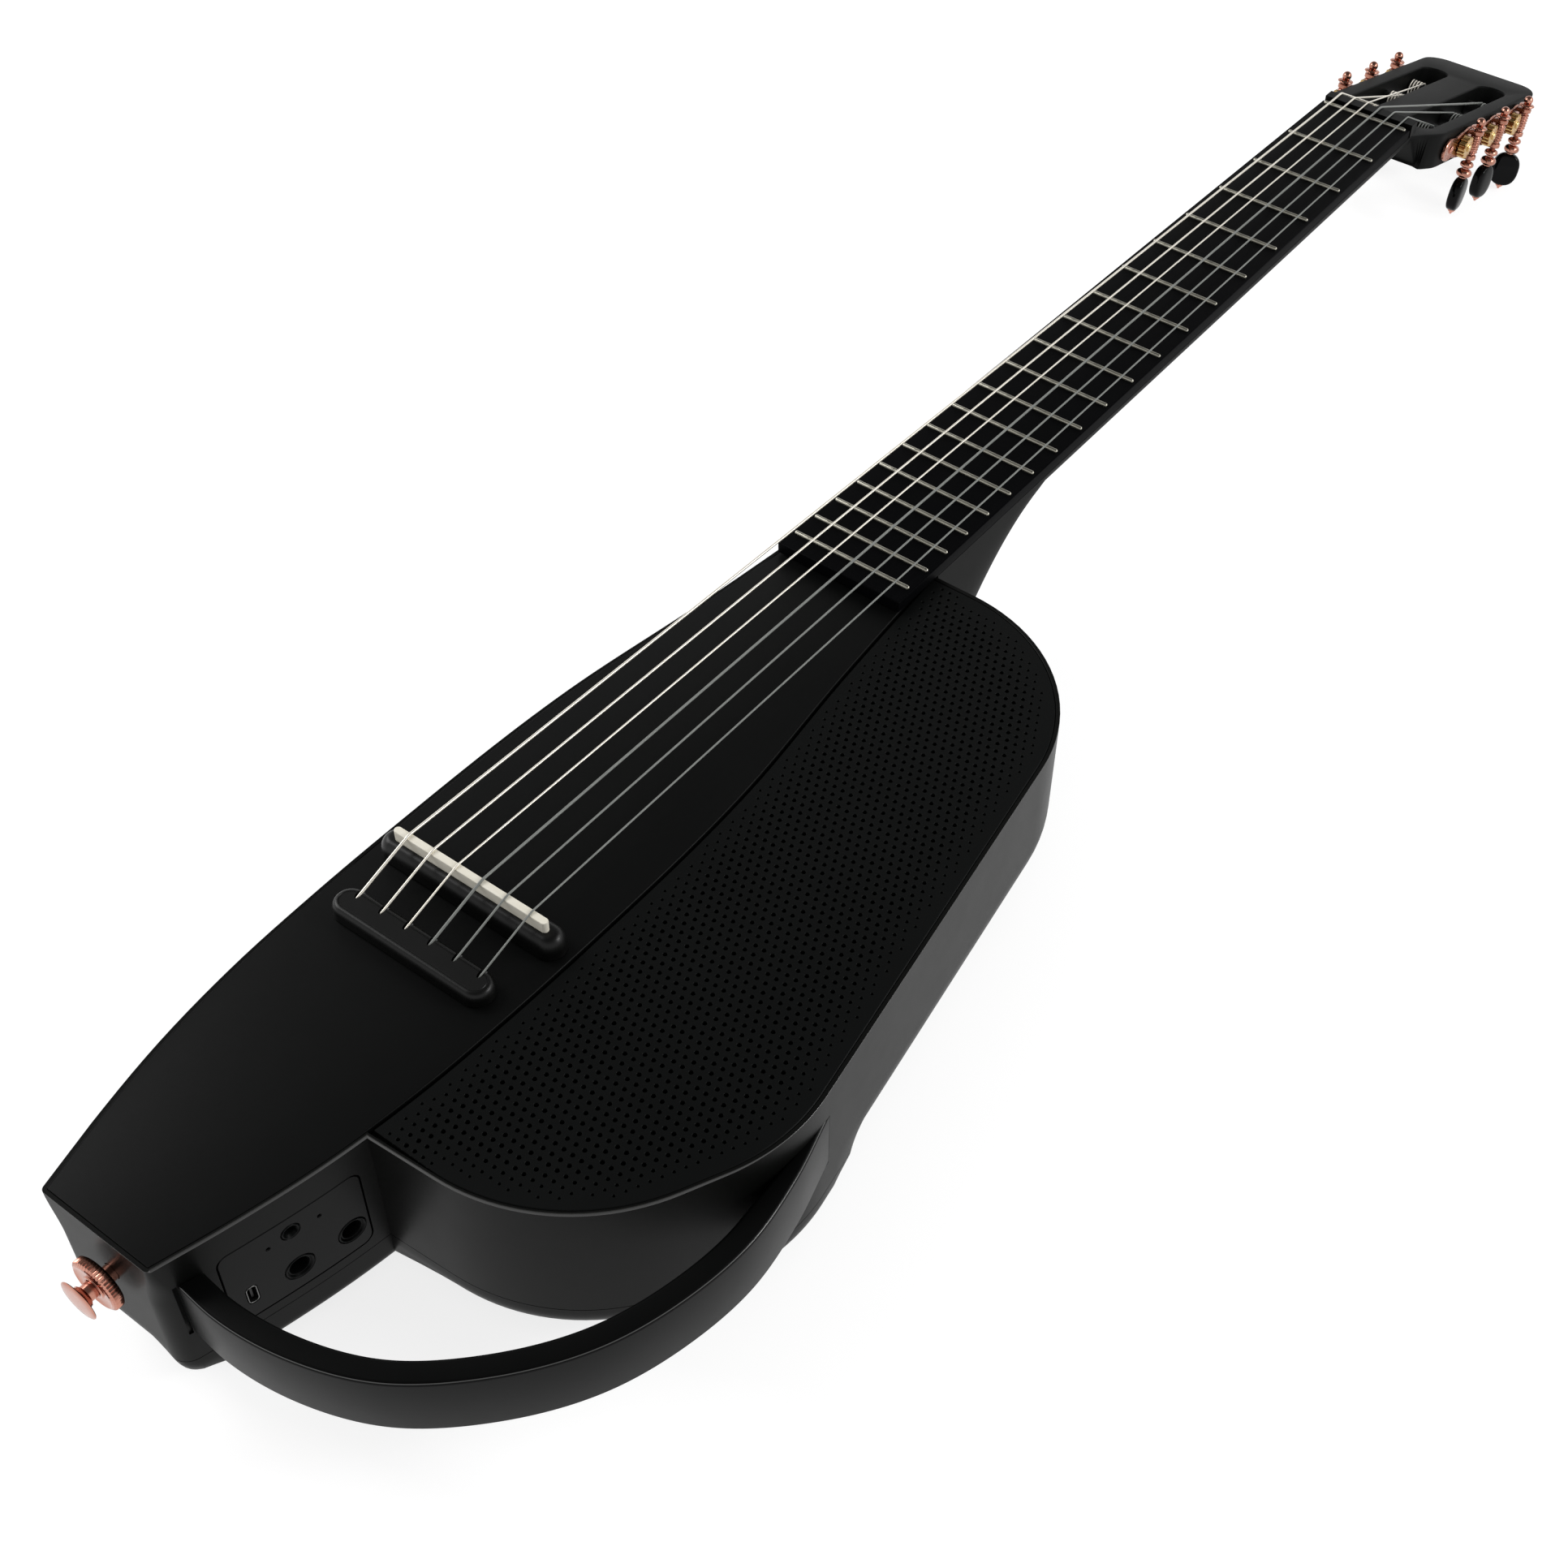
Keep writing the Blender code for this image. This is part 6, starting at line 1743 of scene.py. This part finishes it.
# %% Keys
BUTTON_TOP = -0.0270
BUTTON_LENGTH = 0.0173
BUTTON_HALF_WIDTH = 0.0074
BUTTON_HALF_THICKNESS = 0.0033
WORM_TOP = LUG_TOP - LUG_THICKNESS - FIT_GAP
WORM_END = LUG_BOTTOM + LUG_THICKNESS + FIT_GAP
WORM_PITCH = 0.0014
THREAD_DEPTH = 0.0005
THREAD_FADE = 0.0008
WORM_SHOULDER = 0.0006
FINIAL_CENTRE = 0.0020
FINIAL_RADIUS = 0.0024
COLLAR = (-0.0007, 0.0041, 0.0010)
COLLAR_FOOT = -0.0018
BEADS = ((-0.0200, 0.0036, 0.0016), (-0.0245, 0.0041, 0.0022))
SHAFT_ROOT = BUTTON_TOP - 0.0012
SHAFT_NECK = 0.0019
TIP_PROFILE = (
    (0.0006, 0), (0.0006, 0.0019), (-0.0002, 0.0021), (-0.0010, 0.0015),
    (-0.0014, 0.0009), (-0.0022, 0.0005), (-0.0024, 0),
)


def bead(middle, radius, half, steps=9):
    """Half an ellipse that swells out of the shaft, from above to below."""
    angle, low = np.linspace(0, math.pi, steps), SHAFT_RADIUS * 0.8
    return list(zip(middle + half * np.cos(angle), low + (radius - low) * np.sin(angle)))


def worm_rings(steps=40):
    """r = root + depth * ridge(angle / turn - height / pitch), the ridge being a clipped cosine."""
    height = np.linspace(WORM_TOP, WORM_END, 90)[:, None]
    angle = angles(steps)
    wave = np.clip(1.4 * np.cos(angle - 2 * math.pi * height / WORM_PITCH), -1, 1)
    fade = np.clip(np.minimum(WORM_TOP - height, height - WORM_END) / THREAD_FADE, 0, 1)
    radius = WORM_RADIUS - THREAD_DEPTH * (0.5 - 0.5 * wave) - WORM_SHOULDER * (1 - fade)
    return round_rings(radius, angle, height)


def above_worm():
    """A ball on a collar, and the shaft down to the worm."""
    ball = arc_profile(FINIAL_CENTRE, 0, FINIAL_RADIUS, 4, 146, 16)
    shaft = [(COLLAR_FOOT, SHAFT_RADIUS), (WORM_TOP, SHAFT_RADIUS)]
    return [(FINIAL_CENTRE + FINIAL_RADIUS, 0), *ball, *bead(*COLLAR), *shaft]


def below_worm():
    """The shaft, its two beads and the neck that ends inside the button."""
    shaft = [(WORM_END, SHAFT_RADIUS), (LUG_BOTTOM, SHAFT_RADIUS)]
    shaft.append((LUG_BOTTOM - 0.0003, SHAFT_RADIUS * 0.9))
    neck_end = [(BUTTON_TOP + 0.0006, SHAFT_NECK), (SHAFT_ROOT, SHAFT_NECK), (SHAFT_ROOT, 0)]
    return [*shaft, *bead(*BEADS[0]), *bead(*BEADS[1]), *neck_end]


def oval_button(steps=40, rows=21):
    """A superellipsoid: a rounded slab, wide seen from the front and nearly square from the side."""
    v = np.linspace(-math.pi / 2, math.pi / 2, rows)[:, None]
    u = angles(steps)

    def power(wave, exponent):
        return np.sign(wave) * np.abs(wave) ** exponent

    x = BUTTON_HALF_WIDTH * power(np.cos(v), 0.80) * power(np.cos(u), 0.62)
    y = BUTTON_HALF_THICKNESS * power(np.cos(v), 0.34) * power(np.sin(u), 0.50)
    z = BUTTON_TOP - BUTTON_LENGTH / 2 + BUTTON_LENGTH / 2 * power(np.sin(v), 0.80)
    return np.stack(np.broadcast_arrays(x, y, z), axis=-1)[::-1]


def key(string):
    """Top profile, worm and lower profile are one column of rings; the button and its tip follow."""
    side, number = tuner_of(string)
    stand = worm_frame(side, number)
    rings = np.concatenate([turned(above_worm(), 40), worm_rings(), turned(below_worm(), 40)])
    body, node = f"key_{string}", f"tuner_key_{string}"
    dress(loft(f"key_shaft_{string}", placed(rings, stand), 34), DARKENED_ROSE, "rose_gold", node, body=body)
    button = loft(f"key_button_{string}", placed(oval_button(), stand), 60)
    dress(button, GLOSS, "driver_black", node, body=body)
    tip = [(BUTTON_TOP - BUTTON_LENGTH + height, radius) for height, radius in TIP_PROFILE]
    dress(loft(f"key_tip_{string}", turned(tip, 24, stand)), ROSE, "rose_gold", node, body=body)


for string in range(1, 7):
    key(string)
print("keys:", 6)

# %% [markdown]
# ## Strings
#
# A string runs from its hole in the tie block over the saddle, along the neck, over the zero fret
# and through the guide, and then winds four times round its roller. It is a tube carried along that
# route. The ring at each point is spanned by the route's direction and the roller's axle, which
# never line up, so the tube doesn't twist.

# %% Routes and tubes
LOOPS = 4
LOOP_POINTS = 40
LOOP_PITCH = 0.0016
WINDING_STARTS = (0.0175, 0.0145, 0.0170)
WINDING_WAYS = (-1, 1, 1)
TUBE_SIDES = 12


def string_route(string):
    """From inside the tie block to the last of four loops, a helix round the roller."""
    radius = STRING_RADII[string - 1]
    mouth_place, crest = tie_mouth(string), saddle_crest(string)
    tied = mouth_place + (mouth_place - crest).normalized() * (TIE_HOLE_DEPTH - FIT_GAP)
    nut_y = string_share(string) * NUT_SPREAD
    over_nut = Vector((SCALE_LENGTH, nut_y, FRET_TOP + FIT_GAP + radius))
    guide_exit = Vector((SCALE_LENGTH + GUIDE_START + GUIDE_LENGTH, nut_y, over_nut.z))
    side, number = tuner_of(string)
    centre_s = ROLLER_FIRST + ROLLER_SPACING * number
    reach = ROLLER_RADIUS + FIT_GAP / 3 + radius
    local = HEAD_FRAME.inverted() @ guide_exit
    distance = math.hypot(local.x - centre_s, local.z - ROLLER_K)
    first = math.atan2(local.z - ROLLER_K, local.x - centre_s) - math.acos(reach / distance)
    turns = np.arange(LOOPS * LOOP_POINTS + 1) / LOOP_POINTS
    angle = first - 2 * math.pi * turns
    y = side * (WINDING_STARTS[number] + WINDING_WAYS[number] * LOOP_PITCH * turns)
    helix = [centre_s + reach * np.cos(angle), y, ROLLER_K + reach * np.sin(angle)]
    winding = placed(np.stack(helix, axis=1), HEAD_FRAME)
    ease = np.array([0.3, 0.15, 0.06])[:, None]
    approach = winding[0] + (np.array(guide_exit) - winding[0]) * ease
    tail = winding[-1] + unit(winding[-1] - winding[-2]) * 4 * radius
    start = np.array([tied, crest, over_nut, guide_exit])
    return np.concatenate([start, approach, winding, [tail]])


def eased(route, size=0.0012):
    """Each of the first bends replaced by a short curve: a quadratic between points set back from it."""
    share = np.linspace(0, 1, 7)[:, None]
    parts = [route[:1]]
    for i in range(1, 4):
        back, ahead = (route[i] + unit(route[j] - route[i]) * size for j in (i - 1, i + 1))
        parts.append((1 - share) ** 2 * back + 2 * share * (1 - share) * route[i] + share**2 * ahead)
    return np.concatenate([*parts, route[4:]])


def string_tube(string):
    radius = STRING_RADII[string - 1]
    route = eased(string_route(string))
    tangent = unit(np.gradient(route, axis=0))
    side = unit(np.array([0, 1, 0]) - tangent[:, 1:2] * tangent)
    over = np.cross(tangent, side)
    angle = angles(TUBE_SIDES)[:, None]
    size = np.full(len(route), radius)
    size[-1] *= 0.6
    ring = np.cos(angle) * side[:, None] + np.sin(angle) * over[:, None]
    piece = loft(f"string_wire_{string}", route[:, None] + size[:, None, None] * ring, 70)
    travel = np.repeat(travelled(route), TUBE_SIDES)
    along = piece.data.attributes.new("along", "FLOAT", "POINT")
    along.data.foreach_set("value", travel[: len(along.data)].astype(np.float32))
    material, slot = (WOUND, "wound_silver") if string > 3 else (NYLON, "nylon")
    return dress(piece, material, slot, f"string_{string}")


for string in range(1, 7):
    string_tube(string)
print("strings:", 6)

# %% [markdown]
# ## Parts inside
#
# The driver, the battery, the boards and the pickup strip are hidden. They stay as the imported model
# has them and get a better finish, so that they look right when the case is opened.

# %% Finishes of the hidden parts
CARD = moulded("driver_card", (0.020, 0.020, 0.021), 0.6, 0.0006, 0.00005)
BOARD_GREEN = moulded("board_lacquer", (0.012, 0.090, 0.040), 0.3, 0.0008, 0.00002)
WRAP = moulded("battery_wrap", (0.014, 0.020, 0.060), 0.35, 0.002, 0.00003)
hidden = {
    "speaker_driver": (CARD, "driver_black"), "battery_pack": (WRAP, "battery_wrap"),
    "main_board": (BOARD_GREEN, "board_green"), "pickup_strip": (STEEL, "socket_metal"),
}
for node, (material, slot) in hidden.items():
    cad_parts[node].data.materials.clear()
    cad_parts[node].data.materials.append(material)
dress(board, BOARD_GREEN, "board_green", "socket_board")
print("hidden parts:", len(hidden))

# %% [markdown]
# ## Floor, sky and lamps
#
# The photograph has a plain white ground. The floor looks white to the camera and to glossy
# surfaces, and keeps a soft shadow: part of its brightness is its own, and part is light that falls
# on it. The sky is white at the horizon and darker overhead, as in a room, because a matte black top
# shows what is above it. Three soft lamps stand round it: a large one on the bass side, and two beyond
# the headstock on the treble side, for the pod's walls and the rims.

# %% Floor
FLOOR_GAP = 0.0004
FLOOR_REACH = 12.0
FLOOR_THICKNESS = 0.01
FLOOR_OWN = 0.80
FLOOR_LIT = 0.36

floor_z = cad_box[0].z - FLOOR_GAP
floor_low = floor_z - FLOOR_THICKNESS
floor_profile = ((floor_low, 0), (floor_low, FLOOR_REACH), (floor_z, FLOOR_REACH), (floor_z, 0))
floor = loft("floor", turned(floor_profile, 64))
paper = Finish("floor_paper", roughness=0.9, specular_ior_level=0.0)
fibre = paper.noise(0.002, 3)
paper.set("Base Color", paper.between((0.80, 0.80, 0.80), (0.84, 0.84, 0.84), fibre))
own = paper.node("ShaderNodeEmission", inputs={"Color": (1, 1, 1, 1), "Strength": FLOOR_OWN}, output=0)
lit = paper.node("ShaderNodeBsdfDiffuse", inputs={"Color": (FLOOR_LIT, FLOOR_LIT, FLOOR_LIT, 1)})
seen = paper.node("ShaderNodeAddShader", inputs={0: own, 1: lit})
plain = Wire(paper, paper.shader.outputs[0])
mixed = paper.node("ShaderNodeMixShader", inputs={0: paper.seen_rays(), 1: plain, 2: seen})
paper.tree.links.new(mixed.socket, paper.tree.nodes["Material Output"].inputs["Surface"])
floor.data.materials.append(paper.material)
print("floor at", round(1000 * floor_z, 2), "mm")

# %% Sky and lamps
SKY_LIGHT = 0.42
SKY_OVERHEAD = 0.16
HORIZON_END = 0.30
OVERHEAD_START = 0.80

world = bpy.data.worlds.new("studio")
bpy.context.scene.world = world
world.use_nodes = True
sky = Web(world.node_tree)
ray = sky.node("ShaderNodeTexCoord", output="Generated")
height = sky.node("ShaderNodeSeparateXYZ", inputs={0: ray}, output="Z")
dark = sky.node("ShaderNodeMapRange", {"interpolation_type": "SMOOTHSTEP"}, {
    "Value": height, "From Min": HORIZON_END, "From Max": OVERHEAD_START,
    "To Min": 1.0, "To Max": SKY_OVERHEAD,
})
seen = sky.seen_rays()
strength = seen * dark + (1 - seen) * SKY_LIGHT
backdrop = world.node_tree.nodes["Background"]
backdrop.inputs["Color"].default_value = (1, 1, 1, 1)
sky.feed(backdrop.inputs["Strength"], strength)


def soft_lamp(name, place, aim, size, watts):
    """A square area lamp that faces its aim."""
    lamp = bpy.data.lights.new(name, "AREA")
    lamp.size = size
    lamp.energy = watts
    thing = bpy.data.objects.new(name, lamp)
    bpy.context.scene.collection.objects.link(thing)
    way = (Vector(aim) - Vector(place)).to_track_quat("-Z", "Y")
    thing.matrix_world = Matrix.Translation(place) @ way.to_matrix().to_4x4()


soft_lamp("window_light", (-0.3, 1.6, 1.35), (0.2, 0, 0), 1.1, 22)
soft_lamp("side_light", (1.4, -1.3, 1.2), (0.3, 0, 0), 0.9, 8)
soft_lamp("edge_light", (0.7, -1.2, 0.75), (0.0, 0, 0), 0.35, 6)
print("lamps:", 3)

# %% [markdown]
# ## Colour
#
# The view transform is Standard, so that a colour renders as it is written.

# %% Finish the scene
bpy.context.scene.view_settings.view_transform = "Standard"
